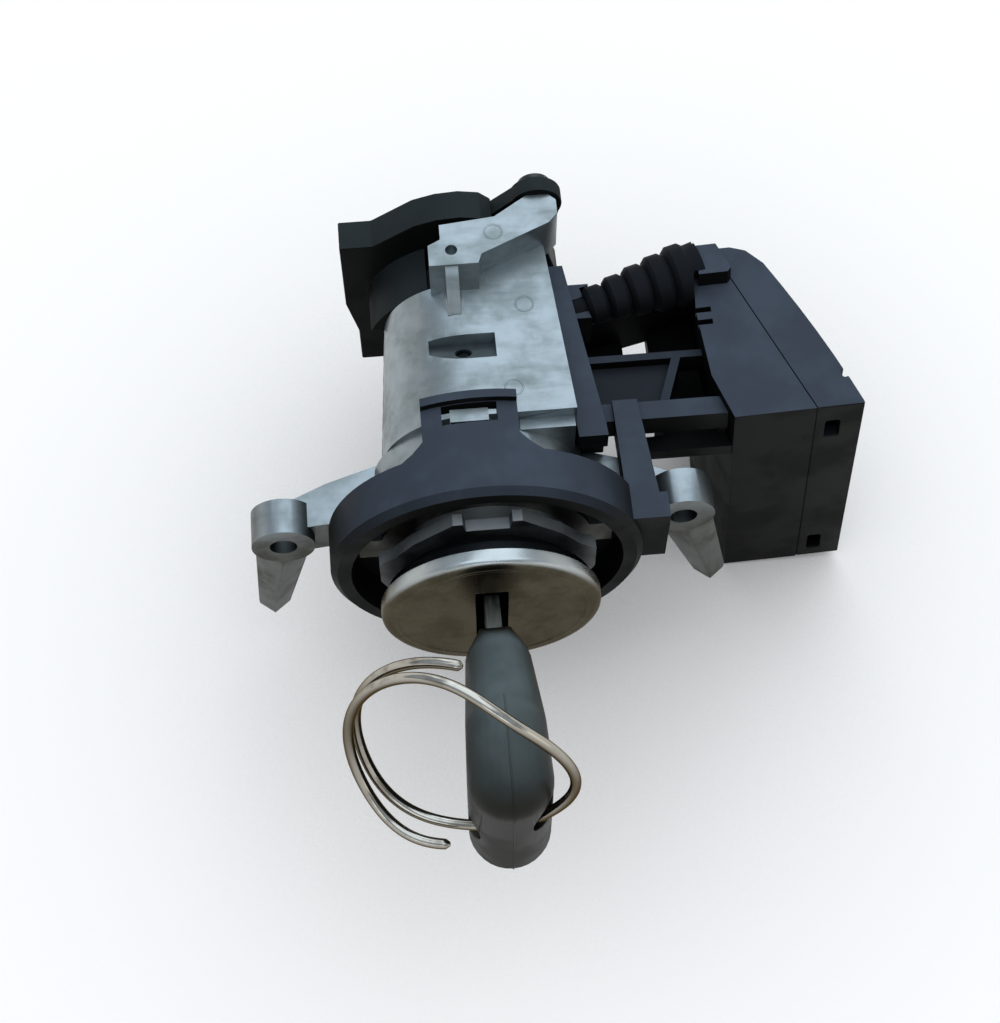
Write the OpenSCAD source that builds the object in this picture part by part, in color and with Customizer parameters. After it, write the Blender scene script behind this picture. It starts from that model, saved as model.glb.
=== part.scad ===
// Ignition switch: cast lock housing, key, rear switch and antenna module
// Millimetres. Lock axis along Y, key towards -Y, Z up, origin between the two lug holes.

/* [Lock cylinder] */
// Diameter of the bright face cap
cap_d = 32; // [31:0.5:34]
// Depth of the cap's rim
cap_depth = 2.6; // [2.2:0.1:3.2]
// Distance from the lug face forward to the cap face
cap_ahead = 13.5; // [13:0.25:15]
// Diameter of the plug that holds the wafers
plug_d = 15; // [14.6:0.1:15.6]
// Outside diameter of the cylinder case
case_d = 20; // [19.4:0.1:20.6]
// Number of wafers
wafer_count = 6; // [3:1:6]
// Thickness of one wafer
wafer_t = 1.2; // [0.8:0.1:1.4]
// Distance from one wafer to the next
wafer_pitch = 3; // [2.4:0.1:3.2]
// Turn of the key from LOCK to START in degrees
turn_deg = 105; // [90:5:115]

/* [Key] */
// Thickness of the key blade
blade_t = 2.2; // [1.8:0.1:2.4]
// Height of the key blade
blade_w = 8; // [7:0.2:8.4]
// Length of the blade behind the cap face
blade_len = 32; // [28:0.5:33]
// Length of the key head
head_len = 30; // [28:0.2:34]
// Height of the key head
head_w = 33; // [29:0.5:36]
// Thickness of the key head
head_t = 10.6; // [9.6:0.2:12]
// Diameter of the key ring at the middle of its wire
ring_d = 30; // [29:0.2:31]
// Diameter of the key ring's wire
ring_wire_d = 1.5; // [1.2:0.1:1.7]

/* [Lock housing] */
// Diameter of the round neck
neck_d = 31.6; // [31:0.2:32.4]
// Width of the tapered block at its front
block_w = 28.6; // [28:0.2:30]
// Height of the block's flat top above the lock axis
block_top = 17; // [16.6:0.2:18]
// Taper of the block's sides in degrees
block_draft = 4.2; // [2:0.2:5]
// Diameter of the round end behind the block
tail_d = 24.6; // [23:0.2:25]
// Distance between the two lug holes
lug_spacing = 59.5; // [58:0.5:64]
// Outside diameter of a lug
lug_d = 9.4; // [8.4:0.2:10]
// Diameter of a lug hole
lug_hole_d = 4.1; // [3.5:0.1:5]
// Length of a lug along the lock axis
lug_len = 5.6; // [5:0.2:7]
// Drop of a leg's tip below the lock axis
leg_drop = 24; // [18:1:28]
// Sideways reach of the right leg's tip from its lug
right_splay = 6.4; // [4:0.2:7]
// Sideways reach of the left leg's tip from its lug
left_splay = 3.6; // [2:0.2:5]

/* [Lock bolt] */
// Thickness of the bolt's frame
bolt_t = 4.8; // [4:0.1:5]
// Width of the bolt's tongue
bolt_w = 10; // [8:0.5:12]
// Thickness of the bolt's tongue
tongue_t = 3.2; // [2.4:0.1:3.4]
// Lift of the bolt from LOCK to START
bolt_lift = 4; // [3:0.2:4.4]
// Reach of the bolt below the housing at LOCK
bolt_reach = 4.4; // [4.4:0.2:7]

/* [Rear switch] */
// Thickness of the switch's front plate
plate_t = 5; // [4.6:0.1:5.6]
// Outside diameter of the switch's round case
drum_d = 26; // [25:0.5:28]
// Diameter of the switch rotor
rotor_d = 20.4; // [19:0.2:20.6]
// Thread diameter of the switch screws
screw_d = 2.5; // [2:0.1:3]

/* [Antenna and module] */
// Outside diameter of the antenna ring
halo_d = 46; // [45:0.5:47.5]
// Inside diameter of the antenna ring
halo_bore_d = 40; // [39.6:0.2:40.6]
// Length of the antenna ring along the lock axis
halo_len = 7.2; // [6.8:0.2:8.4]
// Width of the snap tab on the ring
tab_w = 13.6; // [12:0.2:15]
// Width of the module's front face
module_w = 19.3; // [18:0.5:22]
// Height of the module
module_h = 49; // [44:1:54]
// Wall of the module
module_wall = 2; // [1.6:0.1:2.4]
// Lean of the module in degrees
module_lean = 4; // [0:0.5:6]

/* [Clearances] */
// Radial gap of turning fits
run_gap = 0.05; // [0.02:0.01:0.09]
// Gap between fixed pieces that are put together
seat_gap = 0.1; // [0.05:0.01:0.15]
// Gap beside sliding pieces
slide_gap = 0.2; // [0.15:0.05:0.3]
// Gap between moving faces that don't guide each other
free_gap = 0.35; // [0.3:0.05:0.4]

/* [Hidden] */
$fn = 64;
over = 0.5;

// Stations along the lock axis, from the cap to the rear
cap_y = -cap_ahead;
cap_wall = 1;
cap_back = cap_y + cap_depth;
head_back = cap_back + 1.6;
crown_t = 1.8;
crown_y = head_back + 2.4;
neck_y = -2.5;
block_y = 10;
case_end = 23.5;
clip_t = 0.8;
plug_end = case_end + clip_t + 0.7;
bore_end = plug_end + 0.3;
web_t = 2;
room_y = bore_end + web_t;
room_len = bolt_t + 2 * slide_gap;
room_end = room_y + room_len;
block_end = room_end + 0.3;
tail_end = block_end + 7;
plate_y = tail_end + 1.5;
plate_end = plate_y + plate_t;

// Radii of the fits
cap_r = cap_d / 2;
crown_r = cap_r - 0.2;
plug_r = plug_d / 2;
case_r = case_d / 2;
neck_r = neck_d / 2;
tail_r = tail_d / 2;
hub_r = 12.6;
journal_r = 5;
clip_r = plug_r + 1.4;
groove_r = plug_r - 1;
bore_r = case_r + run_gap;

// Retaining pin
pin_x = -1.2;
pin_y = 21.2;
pin_r = 1.2;

// Block outline
taper = tan(block_draft);
block_half = block_w / 2;
block_low = -13;
dome_x = -1;
dome_r = block_half + dome_x;
function wall_x(y) = block_half - taper * (y - block_y);

// Lock bolt and its cam
turn_rad = turn_deg * PI / 180;
cam_rate = bolt_lift / turn_rad;
cam_low = 2.8;
cam_gap = 0.1;
cam_far = norm([cam_low + bolt_lift, cam_rate]);
cam_step = turn_deg / 21;
window_half = cam_far + free_gap;
frame_bar = 1.7;
frame_half = window_half + frame_bar;
frame_cap = cam_low + cam_gap + 2.4;
window_low = -(cam_low + bolt_lift + free_gap);
frame_low = window_low - 3;
room_half = frame_half + slide_gap;
room_top = frame_cap + bolt_lift + free_gap;
chute_low = -28.2;
guide_h = 4.5;
tip_z = chute_low - bolt_reach;
mid_y = room_y + room_len / 2;
spring_r = 2.2;
spring_wire_r = 0.35;
spring_top = room_top + 4.8;

// Arm on the housing that carries the switch's upper ear
arm_top = block_top + 5;
arm_end = plate_end - 2;
ear_x = 11.6;
ear_z = arm_top - 2.7;
ear_r = 3.9;
ear_t = plate_end - arm_end + 0.6;
screw_len = plate_t + 2;
screw_head_r = screw_d;
screw_head_h = 1.6;
drum_r = drum_d / 2;
low_ear_far = drum_r + screw_head_r + 0.3;
low_ear_x = 0.68 * low_ear_far;
low_ear_z = -0.733 * low_ear_far;
low_ear_r = 4;

// Inside of the switch
drum_y = plate_y + 1.8;
rotor_r = rotor_d / 2;
drum_bore_r = rotor_r + free_gap;
rotor_y = drum_y + free_gap;
rotor_t = 2.6;
bridge_t = 0.8;
rotor_end = rotor_y + rotor_t;
contact_y = rotor_end + bridge_t + free_gap;
lid_y = contact_y + 1.3;
lid_t = 1.3;
lid_rim = 1.2;
drum_end = lid_y + lid_t;
tang_x = 2;
tang_z = 3.6;
socket_x = [-6, 6];
socket_z = [-drum_r - 7.4, -drum_r - 1.4];
socket_wall = 1.2;
socket_depth = 10.5;
socket_end = plate_end + socket_depth;
blade_pitch = 3.6;

// Antenna ring and its snap tab
halo_r = halo_d / 2;
halo_bore_r = halo_bore_d / 2;
halo_end = 1.2;
halo_y = halo_end - halo_len;
web_y = halo_end - 1.5;
coil_in = halo_bore_r + 0.8;
coil_out = halo_r - 0.8;
coil_y = halo_end - 4.6;
retainer_t = 1.2;
strap_in = halo_r - 2.1;
strap_end = halo_end + 8.7;
tab_x = -1.4;
nub_half = 2.7;
nub_y = [strap_end - 3.9, strap_end - 1.9];
window_half_x = nub_half + 1.2;
nub_top = strap_in + 1.3;

// Carrier bars
bar_x = [20.6, 25.4];
bar_z = [lug_d / 2 + 0.6, 9];
rail_z = [3, 12];
rail_end = block_end + 5.4;
lead_y = 33;
lead_z = 8;
lead_r = 1.6;
boot_x = 18.4;
boot_yaw = 13.8;
boot_tilt = 5;
boot_ribs = 5;
boot_r = 4.4;

// Module
module_x = 37.9;
lead_run = (module_x - boot_x) / (cos(boot_yaw) * cos(boot_tilt));
boot_len = lead_run - 1.66;
module_y = 10.5;
module_z = 10;
module_len = 30.3;
module_turn = 21;
seam_in = 6.7;
seam_n = module_w * cos(module_turn) - seam_in;
function side_x(y) = module_w - 0.33 * y - 0.0032 * y * y;
snap_z = [-6.6, -module_h + 4.8];
plug_box = [[2.4, 7.4], [module_wall + 0.4, 8.4]];
plug_depth = 11;
board_t = 1.6;
board_n = seam_n - 2.8;
board_low = -module_h + plug_depth + 2.2;

// Key
key_start = cap_y - 5;
key_end = key_start - head_len;
key_hole_r = 2.45;
key_hole_z = 1.65;
key_hole_turn = [0, 52.1, -11.2];
key_hole_y = key_end + 3.8;
key_root = cap_y - 18;
slot_half = blade_t / 2 + slide_gap + 0.05;
slot_z = blade_w / 2 + 0.3;
chip = [3, 10, 6];
head_swell = 0.6;

// Lie of the loose key ring
ring_place = [-6.5, key_hole_y + 6.3, 11.8];
ring_tip = 60.9;
ring_lean = -51.3;
ring_start = 40;
ring_turns = 1.5;
ring_pitch = ring_wire_d + 0.9;

// Round bar along the lock axis
module rod(y0, y1, r) {
    translate([0, y0, 0]) rotate([-90, 0, 0]) cylinder(h = y1 - y0, r = r);
}

// Round tube along the lock axis
module tube(y0, y1, r_out, r_in) {
    difference() {
        rod(y0, y1, r_out);
        rod(y0 - over, y1 + over, r_in);
    }
}

// Outline in x and z carried along the lock axis
module slab(y0, y1) {
    translate([0, y1, 0]) rotate([90, 0, 0]) linear_extrude(y1 - y0) children();
}

// Outline in x and y carried upwards
module deck(z0, z1) {
    translate([0, 0, z0]) linear_extrude(z1 - z0) children();
}

// Outline in y and z carried along x
module wedge(x0, x1) {
    translate([x0, 0, 0]) rotate([90, 0, 90]) linear_extrude(x1 - x0) children();
}

// Box between two corners given as ranges
module block3(x, y, z) {
    translate([x[0], y[0], z[0]]) cube([x[1] - x[0], y[1] - y[0], z[1] - z[0]]);
}

// Wire wound around z as a helix
module coil(mean_r, wire_r, pitch, turns, per_turn, sides) {
    n = ceil(turns * per_turn);
    points = [for (i = [0:n]) let (a = 360 * turns * i / n, z = pitch * turns * i / n)
        for (j = [0:sides - 1]) let (b = 360 * j / sides, r = mean_r + wire_r * cos(b))
            [r * cos(a), r * sin(a), z + wire_r * sin(b)]];
    sides_faces = [for (i = [0:n - 1]) for (j = [0:sides - 1]) let (k = (j + 1) % sides)
        [i * sides + j, i * sides + k, (i + 1) * sides + k, (i + 1) * sides + j]];
    start = [for (j = [0:sides - 1]) sides - 1 - j];
    end = [for (j = [0:sides - 1]) n * sides + j];
    polyhedron(points = points, faces = concat([start], sides_faces, [end]));
}

// Tapered block with a round upper left side
module block() {
    plan = [[-block_half, block_y], [block_half, block_y],
        [wall_x(block_end), block_end], [-wall_x(block_end), block_end]];
    right = [[dome_x, block_y], [block_half, block_y],
        [wall_x(block_end), block_end], [dome_x, block_end]];
    deck(block_low, block_top - dome_r) polygon(plan);
    deck(block_low, block_top) polygon(right);
    intersection() {
        translate([dome_x, block_y, block_top - dome_r]) rotate([-90 + block_draft, 0, 0])
            translate([0, 0, -4])
                cylinder(h = 40, r1 = dome_r + 4 * taper, r2 = dome_r - 36 * taper);
        block3([-block_w, dome_x + over], [block_y, block_end], [block_low, block_top]);
    }
}

// One mounting lug with its arm and splayed leg
module lug(side) {
    x = side * lug_spacing / 2;
    splay = side > 0 ? right_splay : -left_splay;
    translate([x, 0, 0]) rod(0, lug_len, lug_d / 2);
    edge = lug_spacing / 2 - lug_d / 2;
    deck(-4.4, rail_z[0] - 0.3) polygon([[x, 1.6], [x, lug_len], [side * 23, lug_len + 3],
        [side * (block_half - 2), block_y + 2], [side * (block_half - 2), halo_end + 0.6],
        [side * (halo_r + 0.7), halo_end + 0.6], [side * (edge + 0.6), 1.6]]);
    hull() {
        translate([x, lug_len / 2, -3]) scale([1, 0.6, 1]) cylinder(h = 2, r = lug_d / 2 - 0.4, $fn = 4);
        translate([x + splay, lug_len / 2, -leg_drop]) scale([1, 0.8, 1]) cylinder(h = 1.2, r = 2.4, $fn = 4);
    }
}

// Boss, rib and arm on top of the block
module top_arm() {
    deck(block_top - 3, arm_top) polygon([[-5.2, block_end], [2, block_end], [2.6, block_end + 1.6],
        [13, arm_end - 5.1], [14.4, arm_end - 3.5], [14.4, arm_end - 1.1], [13.3, arm_end],
        [10, arm_end], [5, plate_y - 0.4], [-3.3, tail_end + 0.2], [-3.3, tail_end - 2.4],
        [-5.2, tail_end - 3.4]]);
    deck(8, block_top) polygon([[-5.2, block_end - 1], [wall_x(block_end - 1), block_end - 1],
        [wall_x(tail_end - 1.4), tail_end - 1.4], [11, tail_end], [-3.3, tail_end], [-5.2, tail_end - 3.4]]);
    wedge(-2.9, -1) polygon([[27.4, block_top - 1], [27.4, block_top], [29, block_top + 2],
        [31, block_top + 3.9], [block_end + 0.6, arm_top], [block_end + 1.4, arm_top],
        [block_end + 1.4, block_top - 1]]);
    wedge(-5.2, 2) polygon([[block_end - 1.2, block_top - 1], [block_end - 1.2, block_top],
        [block_end, arm_top], [block_end + 0.2, block_top - 1]]);
}

// Cast housing of the lock
module lock_housing() {
    color("Silver") difference() {
        union() {
            rod(neck_y, block_y + 0.1, neck_r);
            block();
            rod(block_end - over, tail_end, tail_r);
            block3([6, block_half - 0.3], [block_y - 1.7, block_y + 0.1], [8, block_top - 2.2]);
            lug(1);
            lug(-1);
            top_arm();
            for (side = [1, -1])
                block3([side * 16.6 - 2, side * 16.6 + 2], [neck_y, web_y - 0.3], [-0.5, 4.5]);
            wedge(tab_x - nub_half, tab_x + nub_half) polygon([[nub_y[0] - 1, neck_r - 2], [nub_y[0], nub_top],
                [nub_y[1], nub_top], [nub_y[1], neck_r - 2]]);
            block3([-11.8, 11.8], [room_y - 2.2, room_end + 2.2], [chute_low, block_low + 1]);
            translate([low_ear_x, 0, low_ear_z]) rod(room_y, plate_y, low_ear_r - 0.8);
        }
        rod(neck_y - over, bore_end, bore_r);
        rod(bore_end - over, room_y + over, plug_r - 0.2);
        rod(room_end - over, tail_end + over, journal_r + run_gap);
        block3([-room_half, room_half], [room_y, room_end], [chute_low - over, room_top]);
        translate([0, mid_y, room_top - over]) cylinder(h = spring_top - room_top + over, r = spring_r + 0.7);
        wedge(-6.2, 3.6) polygon([[19.6, block_top + 0.02], [23.8, block_top + 0.02], [23.8, block_top - 2.8]]);
        translate([pin_x, pin_y, case_r - 1]) cylinder(h = 12, r = pin_r + seat_gap / 2);
        for (side = [1, -1])
            translate([side * lug_spacing / 2, 0, 0]) rod(-over, lug_len + over, lug_hole_d / 2);
        translate([-1.8, block_end + 2.6, arm_top - 2.2]) cylinder(h = 3, r = 0.9);
        translate([ear_x, 0, ear_z])
            rod(arm_end + ear_t - screw_len - 0.3, arm_end + over, screw_d / 2 + seat_gap / 2);
        translate([low_ear_x, 0, low_ear_z])
            rod(plate_end - screw_len - 0.3, plate_y + over, screw_d / 2 + seat_gap / 2);
    }
}

// Sleeve of the lock cylinder with its crown
module cylinder_case() {
    color("Gainsboro") difference() {
        union() {
            slab(crown_y, crown_y + crown_t) polygon(crown_r / 15.8 * [[-4.9, 15.8], [-3.5, 15.8], [-3.1, 13.8],
                [3.1, 13.8], [3.5, 15.8], [4.9, 15.8], [10.6, 10.9], [13.6, 7], [15.7, 5.4],
                [15.7, 0], [13.4, -5.6], [8.6, -11.4], [4, -14], [-4, -14], [-8.6, -11.4],
                [-13.4, -5.6], [-15.7, 0], [-15.7, 5.4], [-13.6, 7], [-10.6, 10.9]]);
            rod(crown_y + crown_t - 0.1, neck_y, hub_r);
            rod(neck_y - 0.1, case_end, case_r);
        }
        rod(crown_y - over, case_end + over, plug_r + run_gap);
        translate([pin_x, pin_y, plug_r]) cylinder(h = case_r, r = pin_r + seat_gap / 2);
    }
}

// Turning plug with keyway and wafer slots
module cylinder_plug() {
    color("DimGray") difference() {
        union() {
            rod(cap_y + cap_wall, head_back, cap_r - cap_wall - seat_gap / 2);
            rod(head_back - 0.1, crown_y - free_gap, hub_r);
            rod(cap_y + cap_wall, plug_end, plug_r);
        }
        block3([-slot_half, slot_half], [cap_y - over, cap_y + blade_len + 1], [-slot_z, slot_z]);
        for (i = [0:wafer_count - 1]) wafer_box(i, seat_gap);
        block3([-tang_x - seat_gap, tang_x + seat_gap], [plug_end - 3.4, plug_end + over],
            [-plug_r, plug_r]);
        tube(case_end + 0.05, case_end + clip_t + 0.15, plug_r + over, groove_r);
    }
}

// Room of one wafer, grown by a gap
module wafer_box(i, gap) {
    y = neck_y + 1 + i * wafer_pitch;
    block3([-3.4 - gap, 3.4 + gap], [y - gap, y + wafer_t + gap], [-plug_r - over, plug_r + over]);
}

// Spring clip behind the case
module plug_clip() {
    color("LightSteelBlue") difference() {
        tube(case_end + 0.1, case_end + 0.1 + clip_t, clip_r, groove_r + seat_gap / 2);
        block3([-2.4, 2.4], [case_end - over, case_end + 2], [-case_r, 0]);
    }
}

// Wafers lifted by the key
module wafers() {
    color("Goldenrod") for (i = [0:wafer_count - 1]) difference() {
        intersection() {
            wafer_box(i, 0);
            rod(neck_y, case_end, plug_r - 0.15);
        }
        block3([-slot_half - 0.2, slot_half + 0.2], [neck_y, case_end], [-slot_z - 0.2, slot_z + 0.2]);
    }
}

// Bright cap over the plug's head
module face_cap() {
    color("WhiteSmoke") difference() {
        rotate([-90, 0, 0]) rotate_extrude() polygon([[0, cap_y], [cap_r - 1.2, cap_y], [cap_r - 0.5, cap_y + 0.2],
            [cap_r - 0.1, cap_y + 0.6], [cap_r, cap_y + 1.1], [cap_r, cap_back], [cap_r - cap_wall, cap_back],
            [cap_r - cap_wall, cap_y + cap_wall], [0, cap_y + cap_wall]]);
        block3([-2.3, 2.3], [cap_y - over, cap_back], [-7, 7]);
    }
}

// Pin that keeps the case in the housing
module retaining_pin() {
    color("SlateGray") translate([pin_x, pin_y, case_r - 1.6]) cylinder(h = 6.2, r = pin_r);
}

// Outline of the cam whose flat follower rises evenly with the turn
function cam_point(a) = let (h = cam_low + bolt_lift * a / turn_deg)
    [-h * sin(a) - cam_rate * cos(a), h * cos(a) - cam_rate * sin(a)];

// Shaft from the plug through the bolt to the switch rotor
module drive_shaft() {
    color("DarkGray") {
        intersection() {
            block3([-tang_x, tang_x], [plug_end - 3.2, room_y - 0.6], [-plug_r, plug_r]);
            rod(plug_end - 4, room_y, groove_r - 0.3);
        }
        rod(bore_end + 0.1, room_y - 0.2, plug_r - 0.2 - run_gap);
        rod(room_y - 0.3, room_y + free_gap + 0.1, cam_low - 0.2);
        slab(room_y + free_gap, room_end - free_gap) polygon(concat(
            [for (a = [0:cam_step:turn_deg + 0.01]) cam_point(a)],
            [for (a = [turn_deg + 60:10:375]) (cam_low - 0.1) * [-sin(a), cos(a)]]));
        rod(room_end - free_gap - 0.1, room_end + 0.1, cam_low - 0.2);
        rod(room_end, plate_y + 0.3, journal_r);
        block3([-tang_x, tang_x], [plate_y, rotor_end - 0.2], [-tang_z, tang_z]);
    }
}

// Bolt with the cam window and the tongue
module lock_bolt() {
    color("Silver") {
        slab(mid_y - bolt_t / 2, mid_y + bolt_t / 2) difference() {
            polygon([[-frame_half, frame_low], [frame_half, frame_low], [frame_half, frame_cap],
                [-frame_half, frame_cap]]);
            polygon([[-window_half, window_low], [window_half, window_low],
                [window_half, cam_low + cam_gap], [-window_half, cam_low + cam_gap]]);
        }
        slab(mid_y - tongue_t / 2, mid_y + tongue_t / 2) polygon([[-bolt_w / 2, frame_low + 0.1],
            [-bolt_w / 2, tip_z + 1.2], [-bolt_w / 2 + 1.2, tip_z], [bolt_w / 2 - 1.2, tip_z],
            [bolt_w / 2, tip_z + 1.2], [bolt_w / 2, frame_low + 0.1]]);
    }
}

// Plate that guides the tongue at the housing's lower end
module bolt_guide() {
    color("SlateGray") difference() {
        block3([-room_half + seat_gap, room_half - seat_gap],
            [room_y + seat_gap, room_end - seat_gap], [chute_low, chute_low + guide_h]);
        block3([-bolt_w / 2 - slide_gap, bolt_w / 2 + slide_gap],
            [mid_y - tongue_t / 2 - slide_gap, mid_y + tongue_t / 2 + slide_gap],
            [chute_low - over, chute_low + guide_h + over]);
    }
}

// Spring that pushes the bolt down
module bolt_spring() {
    length = spring_top - frame_cap - 2 * spring_wire_r - 0.1;
    color("LightSteelBlue") translate([0, mid_y, frame_cap + spring_wire_r + 0.05])
        coil(spring_r, spring_wire_r, length / 5, 5, 20, 8);
}

// Front outline of the switch
module switch_outline() {
    foot = socket_z[0] - socket_wall;
    side = socket_x[1] + socket_wall;
    polygon([[-18.4, 16], [-13.4, 16], [-7, 20.4], [-3.6, 21.5], [0, 21.8], [3, 21.2], [4.8, 19.4],
        [4.8, 13.4], [13, 12.4], [15, 5], [14.4, -5], [low_ear_x + low_ear_r, low_ear_z],
        [low_ear_x, low_ear_z - low_ear_r], [side, -15], [side, foot], [-side, foot], [-side, -14.6],
        [-16.8, -14.6], [-16.8, -6.6], [-18.4, 1]]);
    translate([low_ear_x, low_ear_z]) circle(r = low_ear_r);
}

// Moulded case of the rear switch
module switch_housing() {
    color([0.13, 0.13, 0.14]) difference() {
        union() {
            slab(plate_y, plate_end) switch_outline();
            rod(plate_end - over, drum_end, drum_r);
            for (part = [[socket_end, -drum_r - 0.1], [drum_end, -drum_r + 1]])
                block3([socket_x[0] - socket_wall, socket_x[1] + socket_wall], [plate_y, part[0]],
                    [socket_z[0] - socket_wall, part[1]]);
            slab(arm_end, arm_end + ear_t) {
                translate([ear_x, ear_z]) circle(r = ear_r);
                polygon([[4, 10], [13, 8], [ear_x + ear_r, ear_z], [ear_x - 2, ear_z + 3], [4.8, 18]]);
            }
            intersection() {
                tube(block_end + 0.2, plate_y + over, tail_r + 3.4, tail_r + seat_gap);
                block3([-20, -5.6], [block_end, plate_y + over], [5.6, block_top]);
            }
        }
        rod(plate_y - over, plate_end, journal_r + free_gap);
        rod(drum_y, drum_end + over, drum_bore_r);
        block3(socket_x, [plate_end, socket_end + over], socket_z);
        for (i = [-1:1]) terminal(i, seat_gap / 2);
        translate([ear_x, 0, ear_z]) rod(arm_end - over, socket_end, screw_d / 2 + seat_gap);
        translate([low_ear_x, 0, low_ear_z]) rod(plate_y - over, socket_end, screw_d / 2 + seat_gap);
    }
}

// One blade terminal in the switch's socket, grown by a gap
module terminal(i, gap) {
    x = (socket_x[0] + socket_x[1]) / 2 + i * blade_pitch;
    z = (socket_z[0] + socket_z[1]) / 2;
    block3([x - 1.1 - gap, x + 1.1 + gap], [plate_end - 3 - gap, plate_end + socket_depth * 0.52],
        [z - 0.4 - gap, z + 0.4 + gap]);
}

// Blade terminals
module switch_terminals() {
    color("DarkGoldenrod") for (i = [-1:1]) terminal(i, 0);
}

// Rotor of the switch
module switch_rotor() {
    color("Ivory") difference() {
        rod(rotor_y, rotor_end, rotor_r);
        block3([-tang_x - seat_gap, tang_x + seat_gap], [rotor_y - over, rotor_end + over],
            [-tang_z - seat_gap, tang_z + seat_gap]);
    }
}

// Sector of a flat ring
module sector(r_out, r_in, from, to) {
    polygon(concat([for (a = [from:5:to]) r_out * [cos(a), sin(a)]],
        [for (a = [to:-5:from]) r_in * [cos(a), sin(a)]]));
}

// Copper bridges on the rotor
module contact_bridges() {
    color("Peru") slab(rotor_end, rotor_end + bridge_t) {
        sector(rotor_r - 1, rotor_r - 4, 40, 110);
        sector(rotor_r - 1, rotor_r - 4, 220, 290);
    }
}

// Fixed contacts on the switch's lid
module fixed_contacts() {
    color("Peru") slab(contact_y, lid_y) {
        sector(rotor_r - 1.5, rotor_r - 3.5, 0, 20);
        sector(rotor_r - 1.5, rotor_r - 3.5, 120, 140);
        sector(rotor_r - 1.5, rotor_r - 3.5, 240, 260);
    }
}

// Lid at the back of the switch
module switch_cover() {
    color([0.2, 0.2, 0.21]) {
        rod(lid_y, drum_end + 0.2, drum_bore_r - seat_gap);
        rod(drum_end, drum_end + lid_rim, drum_r);
        for (a = [0:45:315]) rotate([0, a, 0])
            block3([-0.6, 0.6], [drum_end + lid_rim - 0.1, drum_end + lid_rim + 0.8], [3, drum_r - 5]);
    }
}

// One switch screw, with its seat at y = 0 and its thread towards -Y
module screw() {
    rod(-screw_len, 0.1, screw_d / 2);
    difference() {
        rod(0, screw_head_h, screw_head_r);
        block3([-0.3, 0.3], [screw_head_h - 0.8, screw_head_h + over], [-1.8, 1.8]);
        block3([-1.8, 1.8], [screw_head_h - 0.8, screw_head_h + over], [-0.3, 0.3]);
    }
}

// Screws of the switch
module switch_screws() {
    color("LightSteelBlue") {
        translate([ear_x, arm_end + ear_t, ear_z]) screw();
        translate([low_ear_x, plate_end, low_ear_z]) screw();
    }
}

// Moves the module's pieces from their own corner to their place
module at_module() {
    translate([module_x, module_y, module_z]) rotate([0, -module_lean, 0]) children();
}

// Plan of the module, drawn in by d
function module_plan(d) = concat(
    [[d, d]],
    [for (i = [0:6]) let (y = d + (0.88 * module_len - d) * i / 6) [side_x(y) - 1.07 * d, y]],
    [[side_x(0.95 * module_len) - 1.2 - 0.9 * d, 0.965 * module_len - 0.8 * d],
        [3.2 - 0.3 * d, module_len - d], [d - 2.4, module_len - d], [d - 3.2, 0.63 * module_len],
        [d - 2.4, 0.25 * module_len]]);

// Half space on one side of the module's seam
module seam_side(near, far) {
    rotate([0, 0, module_turn]) translate([near, -60, -module_h - 20]) cube([far - near, 120, module_h + 40]);
}

// Snap finger of the base at a height, grown by a gap
module snap_finger(z, gap) {
    y = module_wall + seat_gap;
    block3([8, 15.6 + gap], [y - gap, y + 1.2 + gap], [z - 1.4 - gap, z + 1.4 + gap]);
    block3([8, 10.6], [y - 0.4, y + 1.2], [z - 1.4, z + 1.4]);
}

// Base shell of the module
module module_base() {
    difference() {
        intersection() {
            deck(-module_h, 0) polygon(module_plan(0));
            seam_side(-80, seam_n);
        }
        difference() {
            deck(-module_h + module_wall, -module_wall) polygon(module_plan(module_wall));
            block3([plug_box[0][0] - 1, plug_box[0][1] + 0.8], [plug_box[1][0] - 3, plug_box[1][1] + 1],
                [-module_h, -module_h + plug_depth + 1]);
        }
        block3(plug_box[0], plug_box[1], [-module_h - over, -module_h + plug_depth]);
        for (i = [-1:1]) pin(i, seat_gap / 2);
        for (y = [17, 19.2]) block3([-4, -0.9], [y - 0.4, y + 0.5], [-1.4, over]);
    }
    for (z = snap_z) {
        intersection() {
            snap_finger(z, 0);
            deck(-module_h, 0) polygon(module_plan(module_wall - 0.3));
        }
    }
    intersection() {
        deck(-1, 3.2) polygon([[-2.2, 23.6], [2.2, 23.6], [3.4, 25], [3.4, module_len - 1.4],
            [-2, module_len - 1.4]]);
        seam_side(-80, seam_n);
    }
}

// One connector pin of the module, grown by a gap
module pin(i, gap) {
    x = (plug_box[0][0] + plug_box[0][1]) / 2;
    y = (plug_box[1][0] + plug_box[1][1]) / 2 + i * 1.7;
    block3([x - 0.35 - gap, x + 0.35 + gap], [y - 0.35 - gap, y + 0.35 + gap],
        [-module_h + 4.8, board_low - 0.2]);
}

// Right-hand lid of the module
module module_cover() {
    color([0.1, 0.1, 0.11]) at_module() difference() {
        intersection() {
            deck(-module_h, 0) polygon(module_plan(0));
            seam_side(seam_n + seat_gap, 80);
        }
        intersection() {
            deck(-module_h + module_wall, -module_wall) polygon(module_plan(module_wall));
            seam_side(seam_n - 1, 80);
        }
        for (z = snap_z)
            block3([13.7, 15.9], [-over, module_wall + over], [z - 2.2, z + 2.2]);
        translate([side_x(5.6), 5.6, -module_h - over]) rotate([0, 0, module_turn])
            translate([-0.7, -0.6, 0]) cube([3, 1.2, module_h + 2 * over]);
    }
}

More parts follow.
